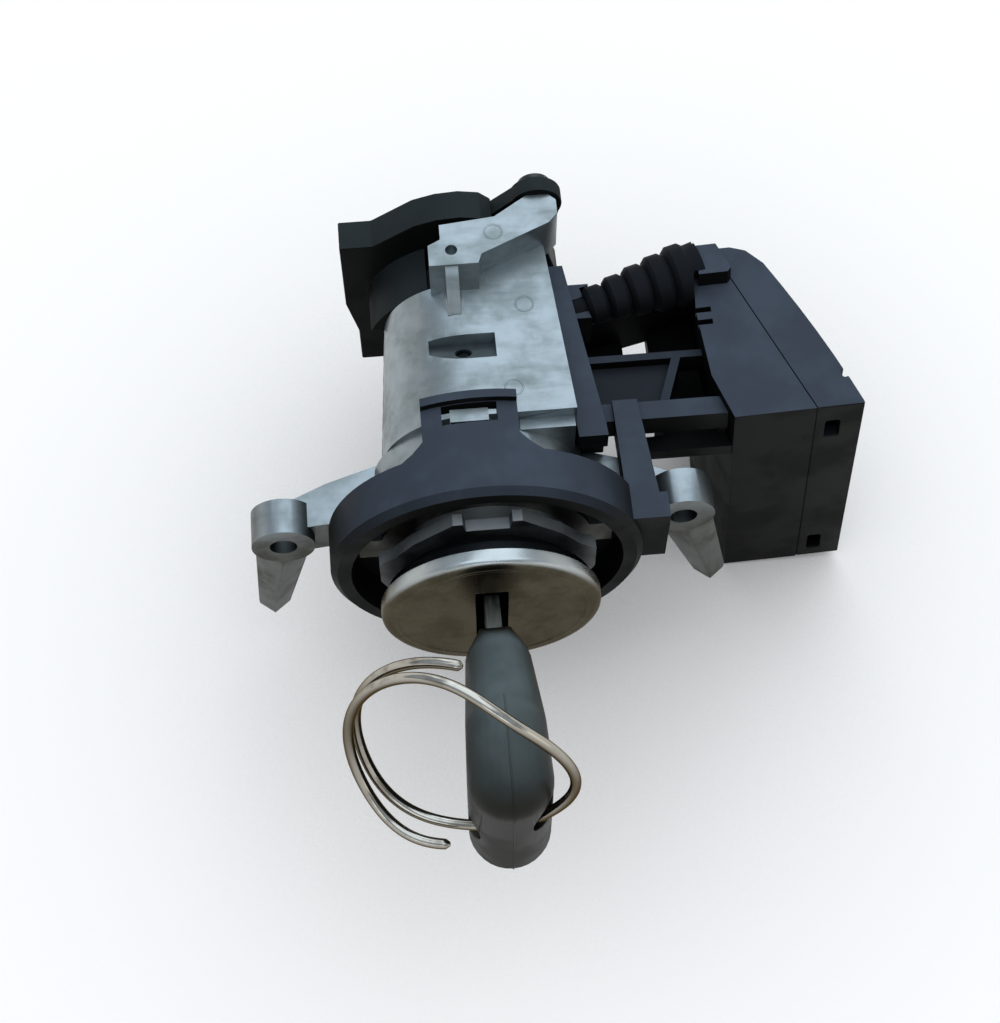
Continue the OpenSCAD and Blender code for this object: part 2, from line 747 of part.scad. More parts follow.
// Bars that join the ring, the rail and the module
module carrier_bars() {
    block3([20, bar_x[1] + 1.2], [-4.5, -0.4], [-3, bar_z[1]]);
    deck(bar_z[0], bar_z[1]) polygon([[bar_x[0], -0.5], [bar_x[1], -0.5], [bar_x[1] - 1.4, 15.5],
        [bar_x[0] - 0.3, 15.5]]);
    block3([16.5, module_x + 1], [12.5, 15.5], [3.6, 8]);
    deck(rail_z[0], rail_z[1]) polygon([[wall_x(block_y) + seat_gap, block_y + 0.2],
        [wall_x(block_y) + 4.4, block_y + 0.2], [wall_x(rail_end) + 2.9, rail_end],
        [wall_x(rail_end) + seat_gap, rail_end]]);
    deck(8.6, rail_z[1]) polygon([[wall_x(8) + seat_gap, 8], [wall_x(8) + 4.4, 8],
        [wall_x(block_y) + 4.4, block_y + 0.4], [wall_x(block_y) + seat_gap, block_y + 0.4]]);
    deck(1.2, 3.6) polygon([[16, 15.4], [28, 15.4], [32, 25.6], [15.4, 25.6]]);
    deck(-5, 5.4) polygon([[27.4, 15.4], [28.8, 15.4], [32.4, 25.6], [31, 25.6]]);
    block3([15.4, module_x - 2], [24.4, 25.6], [1.2, 5.4]);
    deck(-5, -2.6) polygon([[27.6, 15.2], [module_x, 15.2], [module_x, 37.4], [28.4, 35], [28.4, 25], [31.4, 25]]);
    block3([15.4, 24.4], [25.2, 33], [-5, -2.6]);
    block3([21.5, module_x + 1], [10.8, 13.4], [-1.4, 1]);
    block3([21.5, 24], [10.8, 13.4], [-1.4, bar_z[0] + 0.3]);
    translate([15, 31, -5]) rotate([0, 0, boot_yaw]) cube([22, 3.4, 9.2]);
    block3([wall_x(rail_end) + 1.6, boot_x + 0.6], [30.4, lead_y + 3.6], [2, rail_z[1] - 3]);
}

// Antenna ring with snap tab, bars and module base in one moulding
module antenna_carrier() {
    color([0.12, 0.12, 0.13]) difference() {
        union() {
            rotate([-90, 0, 0]) rotate_extrude() polygon([[halo_bore_r, halo_y], [halo_r - 1, halo_y],
                [halo_r, halo_y + 1], [halo_r, halo_end], [neck_r + seat_gap, halo_end],
                [neck_r + seat_gap, web_y], [halo_bore_r, web_y]]);
            intersection() {
                union() {
                    tube(halo_end - 1, strap_end, halo_r, strap_in);
                    tube(strap_end - 1.3, strap_end, halo_r + 1.1, strap_in);
                }
                block3([tab_x - tab_w / 2, tab_x + tab_w / 2], [0, strap_end + over], [0, halo_d]);
            }
            intersection() {
                tube(halo_end - 1, strap_end, halo_r, strap_in);
                deck(0, halo_d) polygon([for (side = [1, -1]) for (k = [0:3]) let (i = side > 0 ? 3 - k : k)
                    [tab_x + side * (tab_w / 2 + [-1, 0.5, 1.6, 4.2][i]), halo_end + [3.4, 1.9, 0.9, -0.6][i]]]);
            }
            difference() {
                carrier_bars();
                rod(halo_y, halo_end + 0.4, halo_r - 1);
                at_module() deck(-module_h, 0) polygon(module_plan(0.2));
            }
            at_module() module_base();
        }
        tube(coil_y, halo_end + over, coil_out, coil_in);
        block3([tab_x - window_half_x, tab_x + window_half_x], [strap_end - 4.5, strap_end - 1.4], [15, halo_d]);
        at_boot() translate([0, 0, -3]) cylinder(h = lead_run + 4.8, r = lead_r + seat_gap);
        at_boot() translate([0, 0, -0.01]) cylinder(h = 4, r = 3.2);
    }
}

// Copper winding in the antenna ring
module antenna_coil() {
    color("Chocolate") tube(coil_y + seat_gap, halo_end - retainer_t - seat_gap,
        coil_out - seat_gap, coil_in + seat_gap);
}

// Ring that closes the winding's groove
module coil_retainer() {
    color([0.16, 0.16, 0.17]) tube(halo_end - retainer_t, halo_end,
        coil_out - seat_gap / 2, coil_in + seat_gap / 2);
}

// Board of the module
module circuit_board() {
    color("DarkGreen") at_module() difference() {
        rotate([0, 0, module_turn]) block3([board_n, board_n + board_t], [1, 21],
            [board_low, -module_wall - seat_gap]);
        block3([-20, module_wall - 2.4], [0, 40], [-module_h, 0]);
    }
}

// Chips on the board
module board_chips() {
    color("Black") at_module() rotate([0, 0, module_turn]) {
        block3([board_n + board_t, board_n + board_t + 1.6], [2, 11], [-24, -13]);
        block3([board_n + board_t, board_n + board_t + 1.2], [3, 8], [-33, -28]);
        block3([board_n + board_t, board_n + board_t + 2.4], [10, 14], [-9, -5]);
    }
}

// Pins of the module's socket
module connector_pins() {
    color("DarkGoldenrod") at_module() for (i = [-1:1]) pin(i, 0);
}

// Moves the boot and its lead from the z axis to their place
module at_boot() {
    translate([boot_x, lead_y, lead_z]) rotate([0, 90 - boot_tilt, boot_yaw]) children();
}

// Ribbed sleeve around the lead
module lead_boot() {
    pitch = (boot_len - 1.5) / boot_ribs;
    color([0.09, 0.09, 0.1]) difference() {
        at_boot() rotate_extrude() polygon(concat([[lead_r + seat_gap, 0]],
            [for (i = [0:boot_ribs - 1]) for (k = [0:3]) let (r = 2.4 + (boot_r - 2.4) * i / (boot_ribs - 1))
                [k == 0 || k == 3 ? r - 0.1 : r + 0.5, pitch * (i + [0, 0.2, 0.75, 0.95][k])]],
            [[boot_r, boot_len], [lead_r + seat_gap, boot_len]]));
        at_module() deck(-module_h - over, 3.3) polygon(module_plan(-seat_gap));
    }
}

// Lead from the rail into the module
module antenna_lead() {
    color("DarkOrange") at_boot() translate([0, 0, -2.8]) cylinder(h = lead_run + 2.8, r = lead_r);
}

// Depth of one cut in the blade
function cut_depth(i) = 0.5 + 0.8 * abs(sin(i * 77));

// Blade of the key with its cuts
module key_blade() {
    half = blade_w / 2;
    first = cap_y + 9;
    tip = cap_y + blade_len;
    upper = [for (i = [0:5]) for (k = [0:3]) let (y = first + i * wafer_pitch)
        [y + [-1.2, -0.4, 0.4, 1.2][k], half - (k == 1 || k == 2 ? cut_depth(i + 1) : 0)]];
    lower = [for (i = [5:-1:0]) for (k = [3:-1:0]) let (y = first + i * wafer_pitch)
        [y + [-1.2, -0.4, 0.4, 1.2][k], -half + (k == 1 || k == 2 ? cut_depth(i + 4) : 0)]];
    color("Silver") difference() {
        wedge(-blade_t / 2, blade_t / 2) polygon(concat([[key_root, half]], upper,
            [[tip - 3, half], [tip, 0.8], [tip, -0.8], [tip - 3, -half]], lower, [[key_root, -half]]));
        block3([blade_t / 2 - 0.7, blade_t], [cap_y - 1, tip + over], [-0.9, 0.9]);
    }
}

// Plastic head of the key
module key_head() {
    r = head_t / 2;
    color([0.5, 0.53, 0.5]) difference() {
        hull() {
            for (side = [1, -1]) {
                translate([0, key_end + r + head_swell, side * (head_w / 2 - r - 2)])
                    sphere(r = r + head_swell, $fn = 32);
                translate([0, key_end + r + 8, side * (head_w / 2 - r)]) sphere(r = r + 0.2, $fn = 32);
                translate([0, key_start - 5.8, side * (head_w / 2 - r - 5)]) sphere(r = r - 0.6, $fn = 32);
            }
            block3([-2.1, 2.1], [key_start - 1, key_start], [-6.4, 6.4]);
        }
        translate([0, key_hole_y, key_hole_z]) rotate(key_hole_turn)
            cylinder(h = 3 * head_t, r = key_hole_r, center = true);
        block3([-blade_t / 2 - seat_gap / 2, blade_t / 2 + seat_gap / 2],
            [key_root - seat_gap, key_start + over],
            [-blade_w / 2 - seat_gap / 2, blade_w / 2 + seat_gap / 2]);
        chip_box(seat_gap);
    }
}

// Place of the transponder chip, grown by a gap
module chip_box(gap) {
    z = blade_w / 2 + 1;
    y = key_root - 6;
    block3([-chip[0] / 2 - gap, chip[0] / 2 + gap], [y - gap, y + chip[1] + gap],
        [z - gap, z + chip[2] + gap]);
}

// Transponder chip in the head
module transponder_chip() {
    color("Black") chip_box(0);
}

// Loose split ring through the head
module key_ring() {
    color("Wheat") translate(ring_place) rotate([0, ring_lean, 0]) rotate([ring_tip, 0, 0])
        rotate([0, 0, ring_start]) translate([0, 0, -ring_pitch * (250 - ring_start) / 360])
            coil(ring_d / 2, ring_wire_d / 2, ring_pitch, ring_turns, 48, 12);
}

lock_housing();
cylinder_case();
cylinder_plug();
plug_clip();
wafers();
face_cap();
retaining_pin();
drive_shaft();
lock_bolt();
bolt_guide();
bolt_spring();
switch_housing();
switch_rotor();
contact_bridges();
fixed_contacts();
switch_cover();
switch_terminals();
switch_screws();
antenna_carrier();
antenna_coil();
coil_retainer();
module_cover();
circuit_board();
board_chips();
connector_pins();
lead_boot();
antenna_lead();
key_blade();
key_head();
transponder_chip();
key_ring();
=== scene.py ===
"""Dresses the ignition switch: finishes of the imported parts, cast fillets, trim and the split ring."""

import logging
import math
from dataclasses import dataclass, field
from enum import Enum

import bmesh
import bpy
import numpy as np
from mathutils import Matrix, Vector
from numpy.typing import NDArray


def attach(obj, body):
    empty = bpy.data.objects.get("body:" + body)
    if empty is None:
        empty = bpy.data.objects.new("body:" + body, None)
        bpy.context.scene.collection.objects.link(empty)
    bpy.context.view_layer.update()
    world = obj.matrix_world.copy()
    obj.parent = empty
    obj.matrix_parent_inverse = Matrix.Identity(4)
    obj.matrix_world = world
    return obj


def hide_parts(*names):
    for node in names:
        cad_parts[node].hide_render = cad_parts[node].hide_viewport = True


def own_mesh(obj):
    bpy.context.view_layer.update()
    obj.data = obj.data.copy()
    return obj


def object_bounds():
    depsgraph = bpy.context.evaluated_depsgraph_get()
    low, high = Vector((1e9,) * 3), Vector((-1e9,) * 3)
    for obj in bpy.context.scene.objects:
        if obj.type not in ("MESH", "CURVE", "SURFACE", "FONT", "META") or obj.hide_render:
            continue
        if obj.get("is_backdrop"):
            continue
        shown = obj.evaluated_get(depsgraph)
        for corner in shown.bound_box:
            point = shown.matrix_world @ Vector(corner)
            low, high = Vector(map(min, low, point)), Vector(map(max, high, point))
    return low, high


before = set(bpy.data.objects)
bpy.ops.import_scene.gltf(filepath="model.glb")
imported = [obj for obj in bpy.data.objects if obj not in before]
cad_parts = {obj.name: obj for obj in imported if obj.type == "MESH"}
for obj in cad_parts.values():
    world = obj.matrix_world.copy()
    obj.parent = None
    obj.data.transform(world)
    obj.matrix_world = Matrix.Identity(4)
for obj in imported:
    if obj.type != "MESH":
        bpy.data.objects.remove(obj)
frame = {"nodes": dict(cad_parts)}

Array = NDArray[np.float64]
Colour = tuple[float, float, float]
Socket = bpy.types.NodeSocket

MM = 0.001
SHARP_DEG = 40.0
SMOOTH_DEG = 30.0
BEVEL_DEG = 32.0
WELD_M = 2e-6
UP = np.array([0.0, 0.0, 1.0])
LOG = logging.getLogger("ignition_switch")


class Body(Enum):
    """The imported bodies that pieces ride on."""

    HOUSING = "housing"
    ROTOR = "rotor"
    KEY = "key"
    RING = "ring"


class Edge(Enum):
    """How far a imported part's edges are rounded, in millimetres."""

    CAST = 0.45
    MOULDED = 0.3
    STAMPED = 0.18
    FINE = 0.08


# Shapes


def arc(start: float, stop: float, count: int) -> Array:
    """Evenly spaced angles in radians.

    Args:
        start: First angle in degrees.
        stop: Last angle in degrees.
        count: Number of angles.

    Returns:
        The angles, shape (count,).
    """
    return np.radians(np.linspace(start, stop, count))


def round_profile(width: float, height: float, count: int) -> Array:
    """Closed ellipse as a wire's section: half the width times cosine, half the height times sine.

    Args:
        width: Size along the first axis in millimetres.
        height: Size along the second axis in millimetres.
        count: Number of points.

    Returns:
        The section, shape (count, 2).
    """
    a = arc(0, 360, count + 1)[:-1]
    return np.stack([0.5 * width * np.cos(a), 0.5 * height * np.sin(a)], axis=1)


def hump_profile(width: float, height: float, sunk: float = 0.1, count: int = 9) -> Array:
    """Section of a raised line: a half ellipse on a hidden foot.

    Args:
        width: Width of the line in millimetres.
        height: Height of the line above the face.
        sunk: Depth of the hidden foot.
        count: Points on the half ellipse.

    Returns:
        The section as side and up distances, shape (count + 2, 2).
    """
    a = arc(0, 180, count)
    curve = np.stack([0.5 * width * np.cos(a), height * np.sin(a)], axis=1)
    return np.concatenate([curve, [[-0.5 * width, -sunk], [0.5 * width, -sunk]]])


def along(corners: Array, count: int) -> Array:
    """Points spread evenly along a line of corners: each is found by its share of the whole length.

    Args:
        corners: Corners of the line, shape (n, 3).
        count: Number of points.

    Returns:
        The points, shape (count, 3).
    """
    run = np.concatenate([[0.0], np.cumsum(np.linalg.norm(np.diff(corners, axis=0), axis=1))])
    share = np.linspace(0, run[-1], count)
    return np.stack([np.interp(share, run, corners[:, k]) for k in range(3)], axis=1)


def fillet_profile(radius: float, sunk: float = 0.15, count: int = 7) -> Array:
    """Section of a concave fillet: a quarter circle about the point one radius out from wall and floor.

    Args:
        radius: Radius of the fillet in millimetres.
        sunk: Depth of the hidden back behind the wall and below the floor.
        count: Points on the quarter circle.

    Returns:
        The section as distance from the wall and height above the floor, shape (count + 3, 2).
    """
    a = arc(0, 90, count)
    curve = np.stack([radius * (1 - np.sin(a)), radius * (1 - np.cos(a))], axis=1)
    back = np.array([[-sunk, radius], [-sunk, -sunk], [radius, -sunk]])
    return np.concatenate([curve, back])


def carry(path: Array, profile: Array, up: Array, taper: Array | None = None) -> Array:
    """Profile carried along a path: each point is the path's point plus the section along side and up.

    Args:
        path: Points of the path in millimetres, shape (n, 3).
        profile: Section as side and up distances, shape (m, 2).
        up: Direction kept upright, shape (3,).
        taper: Factor of the section at each point of the path, shape (n,).

    Returns:
        The surface's grid, shape (n, m, 3).
    """
    run = np.gradient(path, axis=0)
    run /= np.linalg.norm(run, axis=1, keepdims=True)
    side = np.cross(run, up)
    side /= np.linalg.norm(side, axis=1, keepdims=True)
    top = np.cross(side, run)
    size = np.ones(len(path)) if taper is None else taper
    flat = profile[None] * size[:, None, None]
    return path[:, None] + flat[..., :1] * side[:, None] + flat[..., 1:] * top[:, None]


def lathe(profile: Array, place: Array, axis: Array, steps: int) -> Array:
    """Profile turned about an axis: place plus height along the axis plus radius times the turning direction.

    Args:
        profile: Closed section as radius and height, shape (m, 2).
        place: Point on the axis in millimetres.
        axis: Direction of the axis.
        steps: Number of steps round the axis.

    Returns:
        The surface's grid, shape (steps, m, 3), to be closed in both directions.
    """
    n = axis / np.linalg.norm(axis)
    first = np.cross(n, [0.0, 1.0, 0.0] if abs(n[1]) < 0.9 else [1.0, 0.0, 0.0])
    first /= np.linalg.norm(first)
    second = np.cross(n, first)
    a = arc(0, 360, steps + 1)[:-1]
    turn = np.cos(a)[:, None] * first + np.sin(a)[:, None] * second
    return place + profile[None, :, :1] * turn[:, None] + profile[None, :, 1:] * n


def grid_faces(rows: int, columns: int, ring: bool) -> Array:
    """Quads of a grid whose columns close on themselves: each joins two points to those in the next row.

    Args:
        rows: Number of sections.
        columns: Points in one section.
        ring: True if the last section joins the first.

    Returns:
        The quads as point numbers, shape (quads, 4).
    """
    i, j = np.meshgrid(np.arange(rows if ring else rows - 1), np.arange(columns), indexing="ij")
    k, m = (i + 1) % rows, (j + 1) % columns
    quads = np.stack([i * columns + j, k * columns + j, k * columns + m, i * columns + m], axis=-1)
    return quads.reshape(-1, 4)


def piece(name: str, grid: Array, body: Body, material: bpy.types.Material,
          ring: bool = False) -> bpy.types.Object:
    """Makes a closed mesh of a grid, with flat ends where it isn't a ring, and lets it ride on a body.

    Args:
        name: Name of the piece.
        grid: Points in millimetres, shape (n, m, 3), closed along m.
        body: Body that it moves with.
        material: Its finish.
        ring: True if the grid closes along n as well.

    Returns:
        The new object.
    """
    rows, columns = grid.shape[:2]
    faces = grid_faces(rows, columns, ring).tolist()
    if not ring:
        faces += [list(range(columns)), list(range((rows - 1) * columns, rows * columns))]
    mesh = bpy.data.meshes.new(name)
    mesh.from_pydata((grid.reshape(-1, 3) * MM).tolist(), [], faces)
    shell = bmesh.new()
    shell.from_mesh(mesh)
    bmesh.ops.recalc_face_normals(shell, faces=shell.faces)
    shell.to_mesh(mesh)
    shell.free()
    mesh.polygons.foreach_set("use_smooth", np.ones(len(mesh.polygons), dtype=bool))
    mesh.set_sharp_from_angle(angle=math.radians(SHARP_DEG))
    mesh.materials.append(material)
    made = bpy.data.objects.new(name, mesh)
    bpy.context.scene.collection.objects.link(made)
    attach(made, body.value)
    LOG.info("%s: %d faces on %s", name, len(mesh.polygons), body.value)
    return made


# Finishes


class Graph:
    """Adds shader nodes to one material, with every pattern on Object coordinates."""

    def __init__(self, name: str) -> None:
        """Starts a material with a Principled shader.

        Args:
            name: Name of the material.
        """
        self.material = bpy.data.materials.new(name)
        self.material.use_nodes = True
        self.tree = self.material.node_tree
        self.tree.nodes.clear()
        self.shader = self.add("ShaderNodeBsdfPrincipled")
        output = self.add("ShaderNodeOutputMaterial")
        self.tree.links.new(self.shader.outputs["BSDF"], output.inputs["Surface"])
        source = self.add("ShaderNodeTexCoord")
        self.coords, self.normal = source.outputs["Object"], source.outputs["Normal"]

    def add(self, kind: str, **values: object) -> bpy.types.Node:
        """Adds one node and sets its properties.

        Args:
            kind: Blender's name of the node.
            values: Properties of the node.

        Returns:
            The node.
        """
        node = self.tree.nodes.new(kind)
        for key, value in values.items():
            setattr(node, key, value)
        return node

    def feed(self, node: bpy.types.Node, key: str | int, value: object) -> None:
        """Sets an input to a value, or links it to a socket.

        Args:
            node: Node that has the input.
            key: Name or number of the input.
            value: A constant, or the socket to link.
        """
        if isinstance(value, bpy.types.NodeSocket):
            self.tree.links.new(value, node.inputs[key])
        elif isinstance(value, tuple) and len(value) == 3 and node.inputs[key].type == "RGBA":
            node.inputs[key].default_value = (*value, 1.0)
        else:
            node.inputs[key].default_value = value

    def stretched(self, scale: tuple[float, float, float],
                  turn: tuple[float, float, float] = (0, 0, 0)) -> Socket:
        """Object coordinates, turned and stretched.

        Args:
            scale: Factor along each axis.
            turn: Turn about each axis in degrees.

        Returns:
            The mapped vector.
        """
        node = self.add("ShaderNodeMapping")
        self.feed(node, "Vector", self.coords)
        node.inputs["Rotation"].default_value = [math.radians(a) for a in turn]
        node.inputs["Scale"].default_value = scale
        return node.outputs["Vector"]

    def noise(self, size_mm: float, detail: float, rough: float, vector: Socket | None = None) -> Socket:
        """Noise with features of about a size.

        Args:
            size_mm: Size of a feature in millimetres.
            detail: Number of finer layers.
            rough: Weight of the finer layers.
            vector: Coordinates, Object by default.

        Returns:
            The noise's factor, near 0.5.
        """
        node = self.add("ShaderNodeTexNoise")
        self.feed(node, "Vector", vector or self.coords)
        self.feed(node, "Scale", 1.0 / (size_mm * MM))
        self.feed(node, "Detail", detail)
        self.feed(node, "Roughness", rough)
        return node.outputs["Fac"]

    def height(self, low_mm: float, high_mm: float, axis: str = "Z") -> Socket:
        """Share that grows from 0 at one place along an axis of Object coordinates to 1 at another.

        Args:
            low_mm: Place where the share is 0.
            high_mm: Place where the share is 1.
            axis: The axis, upright by default.

        Returns:
            The share.
        """
        node = self.add("ShaderNodeSeparateXYZ")
        self.feed(node, 0, self.coords)
        return self.spread(node.outputs[axis], low_mm * MM, high_mm * MM)

    def upward(self, low: float, high: float) -> Socket:
        """Share of a face that looks up in the piece's own frame, used for painted light on such faces and
        painted shade on the others.

        Args:
            low: Upward part of the normal where the share is 0.
            high: Upward part of the normal where the share is 1.

        Returns:
            The share.
        """
        node = self.add("ShaderNodeSeparateXYZ")
        self.feed(node, 0, self.normal)
        return self.spread(node.outputs["Z"], low, high)

    def radius(self, low_mm: float, high_mm: float) -> Socket:
        """Share that grows from 0 at one distance from the lock axis to 1 at another.

        Args:
            low_mm: Distance where the share is 0.
            high_mm: Distance where the share is 1.

        Returns:
            The share.
        """
        node = self.add("ShaderNodeVectorMath", operation="LENGTH")
        self.feed(node, 0, self.stretched((1.0, 0.0, 1.0)))
        return self.spread(node.outputs["Value"], low_mm * MM, high_mm * MM)

    def spread(self, value: Socket, low: float, high: float,
               to_low: float = 0.0, to_high: float = 1.0) -> Socket:
        """Maps a value's range to another, with a smooth start and end.

        Args:
            value: The value.
            low: Value that maps to to_low.
            high: Value that maps to to_high.
            to_low: First end of the result.
            to_high: Other end of the result.

        Returns:
            The mapped value.
        """
        node = self.add("ShaderNodeMapRange", interpolation_type="SMOOTHSTEP")
        limits = {"From Min": low, "From Max": high, "To Min": to_low, "To Max": to_high}
        for key, limit in {"Value": value, **limits}.items():
            self.feed(node, key, limit)
        return node.outputs["Result"]

    def blend(self, share: Socket, first: Colour | Socket, second: Colour | Socket) -> Socket:
        """Mixes two colours.

        Args:
            share: Share of the second colour.
            first: Colour at 0.
            second: Colour at 1.

        Returns:
            The mixed colour.
        """
        node = self.add("ShaderNodeMix", data_type="RGBA")
        self.feed(node, 0, share)
        self.feed(node, 6, first)
        self.feed(node, 7, second)
        return node.outputs[2]

    def sum(self, first: Socket, second: Socket | float, operation: str = "ADD") -> Socket:
        """Joins two values with an operation of arithmetic.

        Args:
            first: First value.
            second: Second value.
            operation: Blender's name of the operation.

        Returns:
            The result.
        """
        node = self.add("ShaderNodeMath", operation=operation)
        self.feed(node, 0, first)
        self.feed(node, 1, second)
        return node.outputs[0]

    def bump(self, height: Socket, depth_mm: float, strength: float, under: Socket | None = None) -> Socket:
        """Turns a height into a normal.

        Args:
            height: Height from 0 to 1.
            depth_mm: Depth of the full height in millimetres.
            strength: Strength of the bump.
            under: Normal of a coarser bump below.

        Returns:
            The normal.
        """
        node = self.add("ShaderNodeBump")
        self.feed(node, "Height", height)
        self.feed(node, "Distance", depth_mm * MM)
        self.feed(node, "Strength", strength)
        if under is not None:
            self.feed(node, "Normal", under)
        return node.outputs["Normal"]

    def finish(self, **inputs: object) -> bpy.types.Material:
        """Sets the shader's inputs.

        Args:
            inputs: Value or socket of each input, with _ for a space.

        Returns:
            The material.
        """
        for key, value in inputs.items():
            self.feed(self.shader, key.replace("_", " "), value)
        return self.material


@dataclass(frozen=True)
class CastMetal:
    """Die-cast zinc: mottled grey skin with a sandy grain, flow marks, stains, and painted shade on its low
    and front sides.

    The painted shade grows downwards between the two heights given for it, and forwards between the two
    places of front.
    """

    name: str
    colour: Colour
    stain: Colour
    painted_shade: Colour
    rough: tuple[float, float] = (0.34, 0.56)
    metal: float = 0.92
    painted_shade_from: tuple[float, float] = (14.0, -3.0)
    front: tuple[float, float] = (-1.0, -2.2)

    def build(self) -> bpy.types.Material:
        """Returns the material."""
        g = Graph(self.name)
        patch = g.spread(g.noise(7.0, 4.0, 0.6), 0.36, 0.7)
        flow = g.spread(g.noise(2.2, 3.0, 0.6, g.stretched((0.2, 1.0, 1.0), (0, 0, 4))), 0.42, 0.72)
        share = g.sum(g.sum(patch, 0.5, "MULTIPLY"), g.sum(flow, 0.25, "MULTIPLY"))
        grain = g.noise(0.32, 2.0, 0.6)
        coarse = g.noise(1.5, 2.0, 0.5)
        skin = g.bump(grain, 0.05, 0.28, g.bump(coarse, 0.12, 0.18))
        rough = g.spread(share, 0.0, 0.9, *self.rough)
        # Painted shade: faces that don't look up, where they lie low or at the front, are darkened towards
        # the shade colour.
        low = g.sum(g.height(*self.painted_shade_from), g.height(*self.front, "Y"), "MAXIMUM")
        sides = g.sum(low, g.upward(0.95, 0.55), "MULTIPLY")
        painted_shade_share = g.sum(sides, g.spread(patch, 0.0, 1.0, 0.88, 1.0), "MULTIPLY")
        clean = g.blend(share, self.colour, self.stain)
        return g.finish(Base_Color=g.blend(painted_shade_share, clean, self.painted_shade), Metallic=self.metal,
                        Roughness=rough, Normal=skin)


@dataclass(frozen=True)
class SpunMetal:
    """Turned metal with fine rings about the lock axis, a few handling marks, and a rim made lighter where it
    looks up: partly wear from handling, partly a painted highlight.
    """

    name: str
    colour: Colour
    shade: Colour
    rough: tuple[float, float] = (0.24, 0.42)
    ring_mm: float = 0.22
    rim_wear_and_highlight: Colour = (0.0, 0.0, 0.0)
    rim_mm: float = 0.0
    edge: Colour = (1.0, 1.0, 1.0)
    rim_fade_mm: float = 0.5
    wave_per_ring: float = 0.314

    def build(self) -> bpy.types.Material:
        """Returns the material."""
        g = Graph(self.name)
        rings = g.add("ShaderNodeTexWave", wave_type="RINGS", rings_direction="Y")
        g.feed(rings, "Vector", g.coords)
        g.feed(rings, "Scale", self.wave_per_ring / (self.ring_mm * MM))
        g.feed(rings, "Distortion", 1.2)
        g.feed(rings, "Detail", 2.0)
        g.feed(rings, "Detail Scale", 3.0)
        clouds = g.spread(g.noise(6.0, 4.0, 0.6), 0.35, 0.7)
        marks = g.spread(g.noise(0.9, 2.0, 0.7, g.stretched((1.0, 1.0, 0.12), (0, 35, 0))), 0.64, 0.72)
        share = g.sum(clouds, g.sum(marks, 0.5, "MULTIPLY"), "ADD")
        rough = g.spread(share, 0.0, 1.4, *self.rough)
        skin = g.bump(rings.outputs["Fac"], 0.004, 0.25, g.bump(marks, 0.01, 0.3))
        colour = g.blend(clouds, self.colour, self.shade)
        if self.rim_mm:
            # Rim made lighter where it looks up: partly wear from handling, partly a painted highlight.
            rim = g.radius(self.rim_mm - self.rim_fade_mm, self.rim_mm)
            rim_wear_and_highlight_share = g.sum(rim, g.upward(0.15, 0.8), "MULTIPLY")
            colour = g.blend(rim_wear_and_highlight_share, colour, self.rim_wear_and_highlight)
        return g.finish(Base_Color=colour, Metallic=1.0, Roughness=rough, Specular_Tint=self.edge,
                        Normal=skin)


@dataclass(frozen=True)
class DrawnMetal:
    """Rolled or drawn metal with streaks along one axis."""

    name: str
    colour: Colour
    shade: Colour
    along: tuple[float, float, float] = (1.0, 0.05, 1.0)
    rough: tuple[float, float] = (0.22, 0.42)

    def build(self) -> bpy.types.Material:
        """Returns the material."""
        g = Graph(self.name)
        streak = g.noise(0.25, 3.0, 0.6, g.stretched(self.along))
        dull = g.spread(g.noise(3.0, 3.0, 0.6), 0.4, 0.7)
        return g.finish(Base_Color=g.blend(dull, self.colour, self.shade), Metallic=1.0,
                        Roughness=g.spread(streak, 0.3, 0.7, *self.rough), Normal=g.bump(streak, 0.01, 0.3))


@dataclass(frozen=True)
class PlatedWire:
    """Bright plated spring wire, dulled and browned in slow patches, and browned as painted shade on faces
    that don't look up.
    """

    name: str
    colour: Colour
    worn_and_shaded: Colour
    rough: tuple[float, float] = (0.12, 0.3)
    edge: Colour = (0.5, 0.43, 0.34)

    def build(self) -> bpy.types.Material:
        """Returns the material."""
        g = Graph(self.name)
        patches = g.spread(g.noise(5.0, 3.0, 0.6), 0.42, 0.68, 0.0, 0.6)
        # Slow patches are wear; faces that don't look up are browned as painted shade.
        worn_and_shaded = g.sum(patches, g.upward(0.9, 0.1), "MAXIMUM")
        fine = g.noise(0.4, 2.0, 0.6)
        return g.finish(Base_Color=g.blend(worn_and_shaded, self.colour, self.worn_and_shaded), Metallic=1.0,
                        Specular_Tint=self.edge, Roughness=g.spread(worn_and_shaded, 0.0, 1.0, *self.rough),
                        Normal=g.bump(fine, 0.004, 0.2))


